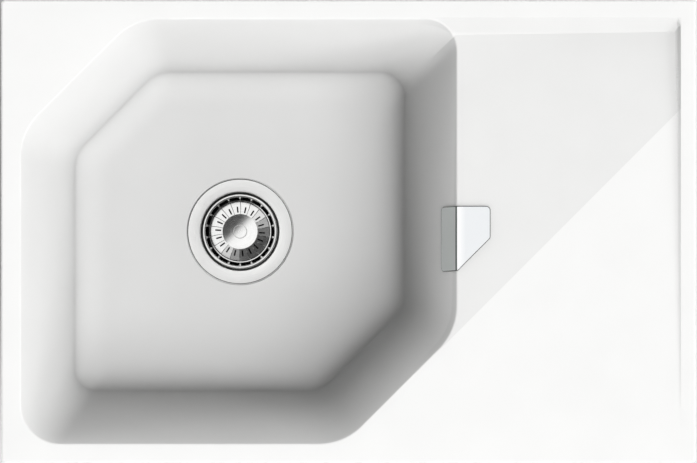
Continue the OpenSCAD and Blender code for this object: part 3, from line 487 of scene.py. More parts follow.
def block(x0, x1, y0, y1, z0, z1):
    """A block between corners."""
    points = [(x, y, z) for z in (z0, z1) for x, y in ((x0, y0), (x1, y0), (x1, y1), (x0, y1))]
    return points, [[3, 2, 1, 0], [4, 5, 6, 7], [0, 1, 5, 4], [1, 2, 6, 5], [2, 3, 7, 6], [3, 0, 4, 7]]


def grown(name, base, build, material, sizes):
    """Runs a geometry tree on base, with named inputs, and keeps the result as a plain mesh."""
    tree = bpy.data.node_groups.new(name, "GeometryNodeTree")
    tree.interface.new_socket("Geometry", in_out="INPUT", socket_type="NodeSocketGeometry")
    tree.interface.new_socket("Geometry", in_out="OUTPUT", socket_type="NodeSocketGeometry")
    identifiers = {}
    for size, value in sizes.items():
        kind = "NodeSocketInt" if isinstance(value, int) else "NodeSocketFloat"
        identifiers[size] = tree.interface.new_socket(size, in_out="INPUT", socket_type=kind).identifier
    entry = add(tree, "NodeGroupInput", give=None).outputs
    made = add(tree, "GeometryNodeRealizeInstances", {0: build(tree, entry)})
    painted = add(tree, "GeometryNodeSetMaterial", {"Geometry": made, "Material": material})
    add(tree, "NodeGroupOutput", {0: painted}, None)
    modifier = base.modifiers.new(name, "NODES")
    modifier.node_group = tree
    for size, value in sizes.items():
        modifier[identifiers[size]] = value
    settle(base)
    base.data.materials.clear()
    base.data.materials.append(material)
    return base


def ring_of_bars(tree, entry, name, first, step):
    """Bars turned about Z from a first angle by equal steps. name starts the inputs that size them."""
    size = add(tree, JOIN, {i: entry[name + part] for i, part in enumerate((" depth", " width", " height"))})
    out = add(tree, JOIN, {0: entry[name + " radius"], 2: entry[name + " level"]})
    bar = add(tree, "GeometryNodeTransform", {
        "Geometry": add(tree, "GeometryNodeMeshCube", {"Size": size}), "Translation": out})
    points = add(tree, "GeometryNodePoints", {"Count": entry["count"]})
    index = add(tree, "GeometryNodeInputIndex")
    turn = add(tree, MATH, {0: index, 1: step, 2: first}, operation="MULTIPLY_ADD")
    return add(tree, "GeometryNodeInstanceOnPoints", {
        "Points": points, "Instance": bar, "Rotation": add(tree, JOIN, {2: turn})})


# The sink's moulding

def unit(x, y):
    return Vector((x, y)).normalized()


def outline(corners, radii, inset, steps, side_steps):
    """Anticlockwise outline moved inwards by inset: an arc at each corner, even points on each side."""
    arcs = []
    for i, corner in enumerate(corners):
        here = Vector(corner)
        along = (here - Vector(corners[i - 1])).normalized()
        away = (Vector(corners[(i + 1) % len(corners)]) - here).normalized()
        before, after = Vector((-along.y, along.x)), Vector((-away.y, away.x))
        centre = here + (inset + radii[i]) * (before + after) / (1 + before.dot(after))
        start = math.atan2(before.y, before.x)
        turn = math.acos(before.dot(after))
        arcs.append([centre - polar(radii[i], start + turn * k / steps) for k in range(steps + 1)])
    points = []
    for i, arc in enumerate(arcs):
        ahead = arcs[(i + 1) % len(arcs)][0]
        points += arc
        points += [arc[-1].lerp(ahead, k / side_steps) for k in range(1, side_steps)]
    return points


sink_corners = [(-sink_l / 2, -sink_w / 2), (sink_l / 2, -sink_w / 2), (sink_l / 2, sink_w / 2),
                (-sink_l / 2, sink_w / 2)]
bowl_corners = [
    (bowl_left, -bowl_back), (bowl_right - bowl_cut, -bowl_back), (bowl_right, -bowl_back + bowl_cut),
    (bowl_right, bowl_back), (bowl_left + bowl_cut, bowl_back), (bowl_left, bowl_back - bowl_cut),
]
bowl_radii = [front_r, cut_r, cut_r, back_r, cut_r, cut_r]
back_right = 3  # The corner at the drainer's back, which keeps its radius as it goes down
back_fade = 350


def radii_at(inset, extra=0):
    """Radii of the bowl's corners, which shrink as its outline moves in."""
    radii = [max(r * (1 - inset / radius_fade), least_r) + extra for r in bowl_radii]
    radii[back_right] = back_r * (1 - inset / back_fade) + extra
    return radii


def bowl_outline(inset, radii):
    arc_steps, side_steps = 14, 16
    return outline(bowl_corners, radii, inset, arc_steps, side_steps)


# The drainer is two planes that meet in a crease, on the line of the bowl's cut corner
crease = Vector((bowl_right, -bowl_back + bowl_cut))
run_out = Vector((drainer_right, -sink_w / 2 + drainer_front)) - crease
back_slope = Vector(((fall_right - fall_bowl) / (drainer_right - bowl_right),
                     fall_bowl / (bowl_back - crease.y)))
front_slope_x = (back_slope.x + back_slope.y) / (1 - run_out.x / run_out.y)
front_slope = Vector((front_slope_x, -front_slope_x * run_out.x / run_out.y))
drain_start_x = bowl_right - 2 * back_r


def plane_fall(p):
    """Depth of the drainer's planes under the rim."""
    return max(back_slope.dot(p - crease), front_slope.dot(p - crease))


def roll_width(depth):
    """How wide the rolled side wall is where the drainer has a depth."""
    return math.sqrt(2 * roll_r * max(depth, 0.05))


# The drainer's right wall: parts of its depth, and how far each reaches out from the rim
right_curves = [(0.8, 0.42), (0.2, 1)]


def drain_depth(p, grow=0):
    """Depth of the drainer's surface, side walls included. grow moves them out, for the underside."""
    depth = max(0.0, plane_fall(p))
    if p.x < drain_start_x or depth == 0:
        return 0.0
    back = bowl_back + grow - p.y
    right = drainer_right + grow - p.x
    r = drainer_corner_r + grow
    if back < r and right < r:
        back = right = r - math.hypot(r - back, r - right)
    width = roll_width(depth)
    back_share = min(1.0, max(0.0, back / width))
    right_share = 0
    for part, reach in right_curves:
        right_share += part * math.sin(math.pi / 2 * min(1.0, max(0.0, right / width / reach)))
    return depth * min(back_share, right_share)


def bowl_section():
    """Inset and depth down the bowl: rounded edge, wall that steepens, quarter curve to the floor."""
    edge_steps, wall_steps, foot_steps = 8, 22, 14
    section = []
    for k in range(1, edge_steps + 1):
        a = math.radians(edge_turn * k / edge_steps)
        section.append((edge_r * math.sin(a), edge_r * (1 - math.cos(a))))
    start_x, start_y = section[-1]
    wall_depth = bowl_depth - floor_fall - foot_h
    for k in range(1, wall_steps + 1):
        t = k / wall_steps
        section.append((start_x + (wall_run - start_x) * (1 - (1 - t) ** wall_curve),
                        start_y + (wall_depth - start_y) * t))
    for k in range(1, foot_steps + 1):
        a = math.pi / 2 * k / foot_steps
        section.append((wall_run + foot_run * (1 - math.cos(a)), wall_depth + foot_h * math.sin(a)))
    return section


def deck(edge, inner, height, extra, top):
    """A sheet between an outer and an inner outline, at a height that follows the drainer."""
    flat = [Vector(p) for p in edge + inner + extra]
    n, m = len(edge), len(inner)
    borders = [(k, (k + 1) % n) for k in range(n)] + [(n + k, n + (k + 1) % m) for k in range(m)]
    points, _, triangles, *_ = delaunay_2d_cdt(flat, borders, [], 0, 1e-5)
    faces = []
    for triangle in triangles:
        middle = sum((points[i] for i in triangle), Vector((0, 0))) / 3
        if not inside(inner, middle):
            faces.append(list(triangle) if top else list(triangle)[::-1])
    return [(p.x, p.y, height(p)) for p in points], faces


def inside(border, p):
    """Is a point inside a closed outline?"""
    crossings = 0
    for a, b in zip(border, border[1:] + border[:1]):
        if (a[1] > p[1]) != (b[1] > p[1]) and p[0] < a[0] + (p[1] - a[1]) / (b[1] - a[1]) * (b[0] - a[0]):
            crossings += 1
    return crossings % 2 == 1


def drainer_rows(grow, clear):
    """Points in rows that follow the drainer's side walls, its crease and its planes."""
    row_pitch, crease_pitch, grid_pitch = 4, 8, 32
    grid_x, grid_y = bowl_right + 18, -bowl_back + 40
    points = []
    shares = [0, 0.04, 0.12, 0.25, 0.4, 0.55, 0.7, 0.85, 0.96, 1, 1.06, 1.3]
    right, back = drainer_right + grow, bowl_back + grow
    foot_at_corner = roll_width(plane_fall(Vector((right, back))))
    for share in shares:
        x = drain_start_x + 30
        end = right - share * foot_at_corner
        while x < end - 1:
            top = Vector((x, back))
            width = roll_width(plane_fall(top - Vector((0, roll_width(plane_fall(top))))))
            points.append(Vector((x, back - share * width)))
            x += row_pitch
        y = back - share * foot_at_corner
        points.append(Vector((end, y)))
        while y > -sink_w / 2 + drainer_front / 2:
            y -= row_pitch
            top = Vector((right, y))
            width = roll_width(plane_fall(top - Vector((roll_width(plane_fall(top)), 0))))
            points.append(Vector((right - share * width, y)))
    for k in range(1, 30):
        points.append(crease + Vector((1, 1)) * crease_pitch * k)
        points.append(crease + run_out * k / 30)
    for i in range(7):
        for j in range(13):
            points.append(Vector((grid_x + grid_pitch * i, grid_y + grid_pitch * j)))
    return [p for p in points if not inside(clear, p) and p.x < right + 3 and p.y < back + 3]


def stitch(ring, other, faces):
    """Quads between two rings of point numbers."""
    n = len(ring)
    for k in range(n):
        j = (k + 1) % n
        faces.append([ring[k], ring[j], other[j], other[k]])


def skin(points, faces, last, rings, outside=False):
    """Adds rings of points, each joined to the one before it, and returns the numbers of the last."""
    for ring in rings:
        here = list(range(len(points), len(points) + len(ring)))
        points += [tuple(p) for p in ring]
        if last:
            stitch(*((last, here) if outside else (here, last)), faces)
        last = here
    return last


def at_height(ring, z):
    """A flat ring's points at a height."""
    return [(p[0], p[1], z) for p in ring]


def dipped(ring, depth, dips, top=0):
    """A ring at a depth. The drainer's dip at the bowl's edge fades out down the wall."""
    fade_depth = 130
    fade = (1 + math.cos(math.pi * min(1, max(0, depth - top) / fade_depth))) / 2
    return [(p.x, p.y, rim_h - depth - d * fade) for p, d in zip(ring, dips)]


def between(start, end, t, z):
    """The ring that lies a share of the way from one ring to another."""
    return [(a[0] * (1 - t) + b[0] * t, a[1] * (1 - t) + b[1] * t, z) for a, b in zip(start, end)]


def sink_form():
    """The moulding as one closed skin: deck, rim edge, bowl, waste hole and underside."""
    rim_steps, rim_sides, round_steps, floor_steps, under_steps = 8, 20, 8, 12, 6
    clear, clear_under, joint_gap, pan_wall, pan_fade = 1.2, 1.5, 1.2, 3, 15
    section = bowl_section()
    edge = bowl_outline(0, bowl_radii)

    def rim_outline(inset):
        return outline(sink_corners, [rim_corner_r] * 4, inset, rim_steps, rim_sides)

    rows = drainer_rows(0, bowl_outline(-clear, [r + clear for r in bowl_radii]))
    points, faces = deck(rim_outline(rim_round), edge, lambda p: rim_h - drain_depth(p), rows, True)
    n_rim = len(rim_outline(0))

    # Rim edge: round, then down to the worktop
    rings = []
    for k in range(1, round_steps + 1):
        a = math.pi / 2 * k / round_steps
        ring = rim_outline(rim_round * (1 - math.sin(a)))
        rings.append(at_height(ring, rim_h - rim_round * (1 - math.cos(a))))
    skin(points, faces, list(range(n_rim)), rings + [at_height(rim_outline(0), 0)], True)

    # Bowl: wall, then a floor that falls to the waste
    dips = [drain_depth(p) for p in edge]
    rings = [dipped(bowl_outline(inset, radii_at(inset)), depth, dips) for inset, depth in section]
    foot_inset, foot_depth = section[-1]
    foot = bowl_outline(foot_inset, radii_at(foot_inset))
    foot_z = rim_h - foot_depth
    ways = [unit(p.x - waste_x, p.y) for p in foot]

    def circle(r, z=0):
        return [(waste_x + r * w.x, r * w.y, z) for w in ways]

    for k in range(1, floor_steps + 1):
        t = k / floor_steps
        eased = t * t * (3 - 2 * t)
        rings.append(between(foot, circle(waste_flat_r), t, foot_z + (floor_z - foot_z) * eased))

    # Seat of the flange, waste hole and boss underneath
    seat_r, lip, flare_r = flange_r + 1, 0.6, waste_boss_r + 1.5
    rings += [circle(r, z) for r, z in (
        (seat_r + lip, floor_z), (seat_r + 0.3 * lip, floor_z - 0.3 * lip), (seat_r, floor_z - lip),
        (seat_r, floor_z - seat_depth), (waste_hole_r, floor_z - seat_depth), (waste_hole_r, boss_z),
        (waste_boss_r - 1, boss_z), (waste_boss_r - 0.3, boss_z + 0.3), (waste_boss_r, boss_z + 1),
        (waste_boss_r, floor_z - wall - 1), (flare_r, floor_z - wall))]

    # Outside of the bowl, one wall thickness behind its profile
    outer = []
    for i, (inset, depth) in enumerate(section):
        ahead, behind = section[min(i + 1, len(section) - 1)], section[max(i - 1, 0)]
        along = unit(ahead[0] - behind[0], ahead[1] - behind[1])
        if i == len(section) - 1:
            along = Vector((1, 0))
        if depth + wall * along.x > rim_h + 3:
            outer.append((inset, inset - wall * along.y, depth + wall * along.x))
    bottom_inset, bottom_out, bottom_depth = outer[-1]
    bottom = bowl_outline(bottom_out, radii_at(bottom_inset, wall))
    for k in range(1, under_steps):
        t = k / under_steps
        z = floor_z - wall + (rim_h - bottom_depth - floor_z + wall) * t
        rings.append(between(circle(flare_r), bottom, t, z))
    top_inset, top_out = outer[0][0], outer[0][1] - joint_gap
    joint = bowl_outline(top_out, radii_at(top_inset, wall))

    def pan_depth(p):
        return drain_depth(p, pan_wall) * min(1, max(0, (p.x - drain_start_x) / pan_fade))

    dips = [pan_depth(p) for p in joint]
    rings += [dipped(bowl_outline(out, radii_at(inset, wall)), depth, dips, rim_h)
              for inset, out, depth in reversed(outer)]
    last = skin(points, faces, list(range(n_rim, n_rim + len(edge))), rings)

    # Underside of the deck
    clear_ring = bowl_outline(top_out - clear_under, radii_at(top_inset, wall + clear_under))
    rows = drainer_rows(pan_wall, clear_ring)
    low_points, low_faces = deck(rim_outline(0), joint, lambda p: -pan_depth(p), rows, False)
    first = len(points)
    faces += [[i + first for i in face] for face in low_faces]
    stitch(list(range(first + n_rim, first + n_rim + len(joint))), last, faces)
    return points + low_points, faces


def bowl_room(grow):
    """The space of the bowl, grown into its wall."""
    rings = [at_height(bowl_outline(-grow, [r + grow for r in bowl_radii]), rim_h + 8)]
    for inset, depth in [(0, 0)] + bowl_section():
        rings.append(at_height(bowl_outline(inset - grow, radii_at(inset, grow)), rim_h - depth))
    points, faces = [], [list(range(len(rings[0])))]
    last = skin(points, faces, None, rings)
    return points, faces + [last[::-1]]


def cut(piece, other, operation):
    """Cuts a solid by another, or joins them. The other one goes."""
    boolean = piece.modifiers.new(operation.lower(), "BOOLEAN")
    boolean.operation = operation
    boolean.solver = "EXACT"
    boolean.object = other
    settle(piece)
    bpy.data.objects.remove(other)
    return piece


def make_sink():
    sink = form_object("sink_moulding", sink_form(), resin)
    lug = filleted([(0, -lug_h, 0), (lug_r, -lug_h, 0.8), (lug_r, 4.5, 0), (0, 4.5, 0)], 3)
    boss_l = boss_x - bridge_x
    boss = filleted([(0, -4, 0), (overflow_boss_r, -4, 0), (overflow_boss_r, boss_l, 0.8), (0, boss_l, 0)], 3)
    added = joined(*[lathe(lug, 48, x, y) for x, y in clip_places],
                   moved(lathe(boss, 64), shift(bridge_x + 0.5, overflow_y, overflow_z) @ ALONG_X))
    lugs = form_object("lugs", added, resin)
    into_wall = 3
    cut(lugs, form_object("bowl_room", bowl_room(into_wall), resin), "DIFFERENCE")
    cut(sink, lugs, "UNION")
    seal_in, seal_w, seal_h = 3, 4, 2
    outer, inner = [outline(sink_corners, [rim_corner_r + inset] * 4, inset, 6, 2)
                    for inset in (seal_in, seal_in + seal_w)]
    n = len(outer)
    groove_points = [(p.x, p.y, z) for z in (-2, seal_h) for p in outer + inner]
    groove_faces = []
    for k in range(n):
        j = (k + 1) % n
        groove_faces += [[k, j, n + j, n + k], [2 * n + k, 3 * n + k, 3 * n + j, 2 * n + j],
                         [k, 2 * n + k, 2 * n + j, j], [n + k, n + j, 3 * n + j, 3 * n + k]]
    tap_r, tap_in, tap_skin, bore_r, bore_l = 17.5, 40, 3, 3.8, 14
    pockets = [(-sink_l / 2 + tap_in, sink_w / 2 - tap_in), (bowl_right - bowl_cut / 3, -sink_w / 2 + 50)]
    start = -3  # Cutters start outside the piece
    pocket = [(0, start), (tap_r, start), (tap_r, rim_h - tap_skin), (0, rim_h - tap_skin)]
    bore = [(0, start - lug_h), (bore_r, start - lug_h), (bore_r, bore_l - lug_h), (0, bore_l - lug_h)]
    bridge_seat_r = overflow_r + 3.3
    overflow = [(0, -20), (bridge_seat_r, -20), (bridge_seat_r, 0), (overflow_r, 0), (overflow_r, 24),
                (0, 24)]
    removed = joined((groove_points, groove_faces),
                     *[lathe(pocket, 72, x, y) for x, y in pockets],
                     *[lathe(bore, 32, x, y) for x, y in clip_places],
                     moved(lathe(overflow, 64), shift(bridge_x, overflow_y, overflow_z) @ ALONG_X))
    cut(sink, form_object("holes", removed, resin), "DIFFERENCE")
    shade(sink, 17)
    return place_piece(sink, "root", "resin", "sink_body")


# Waste

def make_flange():
    """Pressed cup with a flat flange, a rolled lip and a spoked floor."""
    t = 1
    ledge_r = cup_r - 3
    ledge_z = flange_z - 4.4
    cup_floor = flange_z - 42
    lip_z = cup_floor - 3 * t
    opening_r = 23
    foot_r = 8
    hub_in, hub_out, bar_w = 5.3, 9, 5
    profile = filleted([
        (flange_r, flange_z, 0.45), (cup_r + 0.05, flange_z, 1.3), (cup_r, ledge_z + 0.6, 0.8),
        (ledge_r, ledge_z - 0.6, 0.8), (ledge_r, cup_floor, foot_r), (opening_r, cup_floor, 0.9),
        (opening_r, lip_z, 0.2), (opening_r + t, lip_z, 0.2), (opening_r + t, cup_floor - t, 0.4),
        (ledge_r + t, cup_floor - t, foot_r + t), (ledge_r + t, ledge_z - 1.2, 0.8),
        (cup_r + t, ledge_z, 0.8), (cup_r + t, flange_z - t, 0.3), (flange_r, flange_z - t, 0.45)], 6)
    hub = filleted([(hub_in, lip_z, 0.3), (hub_out, lip_z, 0.3), (hub_out, cup_floor - t, 0.3),
                    (hub_in, cup_floor - t, 0.3)], 2)
    bars = []
    for a in (45, 135, 225, 315):
        bar = block(6, opening_r + 0.5, -bar_w / 2, bar_w / 2, lip_z + 0.05, cup_floor - t - 0.05)
        bars.append(moved(bar, shift(waste_x) @ turned(a)))
    form = joined(lathe(profile, 192, waste_x), lathe(hub, 64, waste_x), *bars)
    flange = form_object("waste_flange", form, satin_steel)
    shade(flange, 35)
    return place_piece(flange, "root", "brushed_steel", "strainer_flange")


def basket_tree(tree, entry):
    """Cuts the wall slots and the floor slots out of the spun basket."""
    step = math.radians(petal)
    bars = add(tree, "GeometryNodeJoinGeometry", give=None)
    for name, first in (("wall slot", step), ("floor slot", math.radians(90 - 13.5))):
        tree.links.new(ring_of_bars(tree, entry, name, first, step), bars.inputs[0])
    solid = add(tree, "GeometryNodeRealizeInstances", {0: bars.outputs[0]})
    centred = add(tree, "GeometryNodeTransform", {"Geometry": solid, "Translation": (waste_x * MM, 0, 0)})
    return add(tree, "GeometryNodeMeshBoolean", {"Mesh 1": entry["Geometry"], "Mesh 2": centred}, "Mesh",
               operation="DIFFERENCE", solver="EXACT")


# The basket's dome, in petals between two radii
dome_rise = 2.6
petal = 360 / slot_count
dish_edge_r = 33.6
dome_edge_r = dish_edge_r - 0.7
pressed_r = (15, 32.6)
swirl = 1.5


def basket_form():
    """Spun basket: rolled rim, tapering wall, and a low dome pressed in petals with a swirl."""
    wall_top_r = basket_r - 3.1
    foot_r = wall_top_r - 3.7
    t = 0.8
    upper = filleted([
        (basket_r, basket_z - 2.6, 0), (basket_r, basket_z, 1.5), (wall_top_r - 0.1, basket_z, 1.4),
        (foot_r, basket_floor_z, 0.9), (dome_edge_r, basket_floor_z, 0)], 7)[:-1]
    lower = filleted([
        (dome_edge_r, basket_floor_z - t, 0), (foot_r + t, basket_floor_z - t, 2.2),
        (wall_top_r + t, basket_z - t, 0.6), (basket_r - t, basket_z - t, 0.6),
        (basket_r - t, basket_z - 2.6, 0)], 6)
    inner_r, outer_r = pressed_r
    slope = dome_rise / (dome_edge_r - inner_r)
    dome = []
    for r in (dome_edge_r, 32.4, 29, 26, 23, 20, 17, 13, 9, 5.6, stem_r + 0.06):
        step_down = 0.25 if r > outer_r else 0
        dome.append((r, basket_floor_z + min(dome_rise, slope * (dome_edge_r - r)) - step_down))
    profile = [(p.x, p.y, False) for p in upper]
    profile += [(r, z, inner_r < r < outer_r) for r, z in dome]
    profile += [(r, z - t, False) for r, z in reversed(dome)]
    profile += [(p.x, p.y, False) for p in lower]
    shares = [0, 0.03, 0.06, 0.28, 0.5, 0.72, 0.94, 0.97]
    swirl_from_r, first_petal, crest = 27, 10, 0.16
    points, faces, rings = [], [], []
    width = slot_count * len(shares)
    for r, z, pressed in profile:
        rings.append(range(len(points), len(points) + width))
        turn_in = swirl * min(1, max(0, (dish_edge_r - r) / (dish_edge_r - swirl_from_r)))
        for k in range(slot_count):
            for share in shares:
                a = math.radians(first_petal + petal * (k + share) - turn_in)
                height = z
                if pressed:
                    off, half = math.radians(petal * (share - 0.5)), math.radians(petal / 2)
                    height -= slope * r * (math.cos(off) / math.cos(half) - 1)
                    height += crest if share == 0 else 0
                points.append((waste_x + r * math.cos(a), r * math.sin(a), height))
    for ring, other in zip(rings, rings[1:] + rings[:1]):
        stitch(ring, other, faces)
    return points, faces


def make_basket():
    basket = form_object("strainer_basket", basket_form(), bright_steel)
    slot_at_r, slot_gap = 36, 1.7
    slot_w = 2 * math.pi * slot_at_r / slot_count - slot_gap
    slot_h = basket_z - basket_floor_z + 1
    slot_in, slot_l = 33.8, 12
    grown("basket_slots", basket, basket_tree, bright_steel, {
        "count": slot_count, "wall slot depth": slot_l * MM, "wall slot width": slot_w * MM,
        "wall slot height": slot_h * MM, "wall slot radius": (slot_in + slot_l / 2) * MM,
        "wall slot level": (basket_z - 1.7 - slot_h / 2) * MM,
        "floor slot depth": 6.5 * MM, "floor slot width": 1.6 * MM, "floor slot height": 9 * MM,
        "floor slot radius": 24 * MM, "floor slot level": basket_floor_z * MM})
    shade(basket, 30)
    for face in basket.data.polygons:
        reach = math.hypot(face.center.x / MM - waste_x, face.center.y / MM)
        if pressed_r[0] + 1 < reach < pressed_r[1] and face.normal.z > 0.5:
            face.use_smooth = False
    return place_piece(basket, "basket", "polished_steel", "basket")


def make_knob():
    """Turned knob with a dished face, and its cap."""
    knob_z = basket_z - 5
    dish = 3.6
    pocket_z = knob_z - dish - 4
    ball_r = (knob_r ** 2 + dish ** 2) / (2 * dish)
    face = []
    first, last = math.asin((knob_r - 1.1) / ball_r), math.asin(cap_r / ball_r)
    for k in range(15):
        a = first + (last - first) * k / 14
        face.append(Vector((ball_r * math.sin(a), knob_z - dish + ball_r * (1 - math.cos(a)))))
    foot_z = basket_floor_z + dome_rise
    bore = stem_r + 0.06
    body = filleted([
        (bore, foot_z, 0), (10, foot_z, 0.4), (8.6, foot_z + 3.5, 2.5), (10.5, knob_z - 4.6, 2.5),
        (knob_r - 0.6, knob_z - 1.8, 0.6), (knob_r, knob_z - 0.3, 0.35)], 5)
    pocket = [Vector((cap_r, pocket_z)), Vector((bore, pocket_z))]
    profile = body + [Vector((knob_r - 0.2, knob_z - 0.02))] + face + pocket
    knob = shade(form_object("strainer_knob", lathe(profile, 128, waste_x), knob_steel), 35)
    place_piece(knob, "basket", "polished_steel", "basket_knob")
    cap_z = pocket_z + 4
    cap_edge = cap_r - 0.15
    cap = filleted([(0, cap_z - 1.6, 0), (cap_edge, cap_z - 1.6, 0), (cap_edge, cap_z + 0.42, 0.3)], 5)
    cap += [Vector((r, cap_z + r * r / (2 * ball_r))) for r in (cap_r - 0.7, 6, 5, 4, 3, 2, 1, 0)]
    cap_piece = shade(form_object("knob_cap_turned", lathe(cap, 96, waste_x), knob_steel), 35)
    place_piece(cap_piece, "basket", "polished_steel", "knob_cap")


# Overflow

def sorted_border(border, extra):
    """Puts extra points that lie on a border's straight stretches into it."""
    result = []
    for a, b in zip(border, border[1:] + border[:1]):
        result.append(a)
        on = []
        for p in extra:
            length = (b - a).length
            along = (p - a).dot(b - a) / length
            if 0.02 < along < length - 0.02 and (p - a - (b - a) * along / length).length < 0.01:
                on.append((along, p))
        result += [p for _, p in sorted(on, key=lambda item: item[0])]
    return result


def make_cover():
    """Folded sheet: its flat outline is folded over a bend, and both faces are joined along the edge."""
    bend_r, bend_x = 1.0, -1.2
    mid_r = bend_r + cover_t / 2
    turn = math.radians(90 - cover_lean)
    bend_l = mid_r * turn
    low_end = bend_x - bend_l - cover_drop
    half = cover_w / 2
    corner = 4.5
    edge_w = 0.65
    border = filleted([
        (low_end, -half, 4.8), (-0.6, -half, 0.8), (cover_flat, -half + cover_flat + 0.6, corner),
        (cover_flat, half, corner), (low_end, half, 4.8)], 10)

    def folded(u, v, side):
        """Place of a flat point after folding; side is the height over the sheet's middle."""
        s = bend_x - u
        if s <= 0:
            return Vector((u, v, pad_t + cover_t / 2 + side))
        a = min(s / mid_r, turn)
        out = Vector((-math.sin(a), 0, math.cos(a)))
        down = Vector((-math.cos(a), 0, -math.sin(a)))
        centre = Vector((bend_x, v, pad_t - bend_r))
        return centre + out * (mid_r + side) + down * max(0.0, s - bend_l)

    inner = []
    columns, margin, clear, border_pitch = 24, 2, 1.6, 3
    bend_lines = [bend_x - bend_l * k / 10 for k in range(11)]
    for u in bend_lines + [6, 12, 18, 24, 30, -10, -18, -26, -31]:
        for k in range(columns):
            v = -half + margin + (cover_w - 2 * margin) * k / (columns - 1)
            if inside(border, (u, v)) and min((Vector((u, v)) - p).length for p in border) > clear:
                inner.append(Vector((u, v)))
    dense = []
    for a, b in zip(border, border[1:] + border[:1]):
        pieces = max(1, round((b - a).length / border_pitch))
        dense += [a.lerp(b, k / pieces) for k in range(pieces)]
    dense = sorted_border(dense, [Vector((u, v)) for u in bend_lines for v in (-half, half)])
    n = len(dense)
    # A narrow strip along the edge takes the dark edge colour: painted shade that outlines the cover
    band = []
    for k, p in enumerate(dense):
        along = (dense[(k + 1) % n] - dense[k - 1]).normalized()
        band.append(p + edge_w * Vector((-along.y, along.x)))
    flat, _, triangles, *_ = delaunay_2d_cdt(band + inner, [(k, (k + 1) % n) for k in range(n)], [], 1, 1e-6)
    flat = list(flat)
    triangles = [list(t) for t in triangles]
    outer = len(flat)
    flat += dense
    edge_faces = [[outer + k, outer + (k + 1) % n, (k + 1) % n, k] for k in range(n)]
    half_t = cover_t / 2
    count = len(flat)
    points = [tuple(folded(p.x, p.y, side)) for side in (half_t, -half_t) for p in flat]
    faces = triangles + [[i + count for i in reversed(t)] for t in triangles]
    plain = len(faces)
    faces += edge_faces + [[i + count for i in reversed(t)] for t in edge_faces]
    for k in range(n):
        here, ahead = outer + k, outer + (k + 1) % n
        faces.append([here, here + count, ahead + count, ahead])
    at = Vector((bowl_right, overflow_y))
    lay = shift(at.x, at.y, rim_h - back_slope.dot(at - crease)) @ Euler(
        (-math.atan(back_slope.y), math.atan(back_slope.x), 0)).to_matrix().to_4x4()
    cover = form_object("overflow_cover_folded", moved((points, faces), lay), cover_steel)
    # The cut edge and the strip beside it are painted dark: painted shade
    cover.data.materials.append(outline_shade_steel)
    for face in cover.data.polygons[plain:]:
        face.material_index = 1
    bevelled(cover, 0.3, 60)
    shade(cover, 40)
    return place_piece(cover, "cover", "brushed_steel", "overflow_cover")


# Hose, in the run that its solid takes
hose_r = 11
hose_pitch = 4.2
rib_h = 1.2
bend_radius = 62
nut_l = 20
union_r = 12.5
grip_count = 10
hose_low, hose_high = box_mm("overflow_hose")
hose_top = Vector((hose_high.x - hose_r, overflow_y, hose_high.z))
hose_end = Vector((hose_low.x, 0, hose_low.z + hose_r))


def hose_route(steps):
    """Down from the elbow, a quarter bend, then level with a slow drift to the housing's axis."""
    drop_l = hose_top.z - hose_end.z - bend_radius
    bend_l = math.pi * bend_radius / 2
    level_l = hose_top.x - bend_radius - hose_end.x
    cuff = 2 * hose_r
    total = drop_l + bend_l + level_l
    route = []
    for k in range(steps + 1):
        s = total * k / steps
        a = math.pi / 2 * min(1, max(0, (s - drop_l) / bend_l))
        share = min(1, max(0, (s - drop_l - bend_l) / (level_l - cuff)))
        route.append(Vector((
            hose_top.x - bend_radius * (1 - math.cos(a)) - max(0, s - drop_l - bend_l),
            hose_top.y + (hose_end.y - hose_top.y) * (1 - math.cos(math.pi * share)) / 2,
            hose_top.z - min(s, drop_l) - bend_radius * math.sin(a))))
    return route, total


def hose_tree(tree, entry):
    """Sweeps a circle along the route, whose radius swells at each rib and is plain on the cuffs."""
    line = add(tree, "GeometryNodeMeshToCurve", {"Mesh": entry["Geometry"]})
    curve = add(tree, "GeometryNodeResampleCurve", {"Curve": line, "Count": entry["rings"]})
    run = add(tree, "GeometryNodeSplineParameter", give="Length")
    full = add(tree, "GeometryNodeSplineLength", give="Length")
    turns = add(tree, MATH, {0: run, 1: entry["pitch"]}, operation="DIVIDE")
    phase = add(tree, MATH, {0: turns, 1: 2 * math.pi}, **TIMES)
    wave = add(tree, MATH, {0: phase}, operation="SINE")
    groove = add(tree, RANGE, {0: wave, 1: -0.75, 2: 0.75, 3: 1.0, 4: 0.0}, interpolation_type="SMOOTHSTEP")
    to_end = add(tree, MATH, {0: full, 1: run}, operation="SUBTRACT")
    nearest = add(tree, MATH, {0: run, 1: to_end}, operation="MINIMUM")
    ribbed = add(tree, MATH, {0: nearest, 1: entry["cuff"]}, operation="GREATER_THAN")
    dip = add(tree, MATH, {0: groove, 1: ribbed}, **TIMES)
    dip = add(tree, MATH, {0: dip, 1: entry["rib height"]}, **TIMES)
    radius = add(tree, MATH, {0: entry["radius"], 1: dip}, operation="SUBTRACT")
    sized = add(tree, "GeometryNodeSetCurveRadius", {"Curve": curve, "Radius": radius})
    circle = add(tree, "GeometryNodeCurvePrimitiveCircle", {"Resolution": entry["sides"], "Radius": 1.0})
    return add(tree, "GeometryNodeCurveToMesh", {
        "Curve": sized, "Profile Curve": circle, "Scale": radius, "Fill Caps": True})


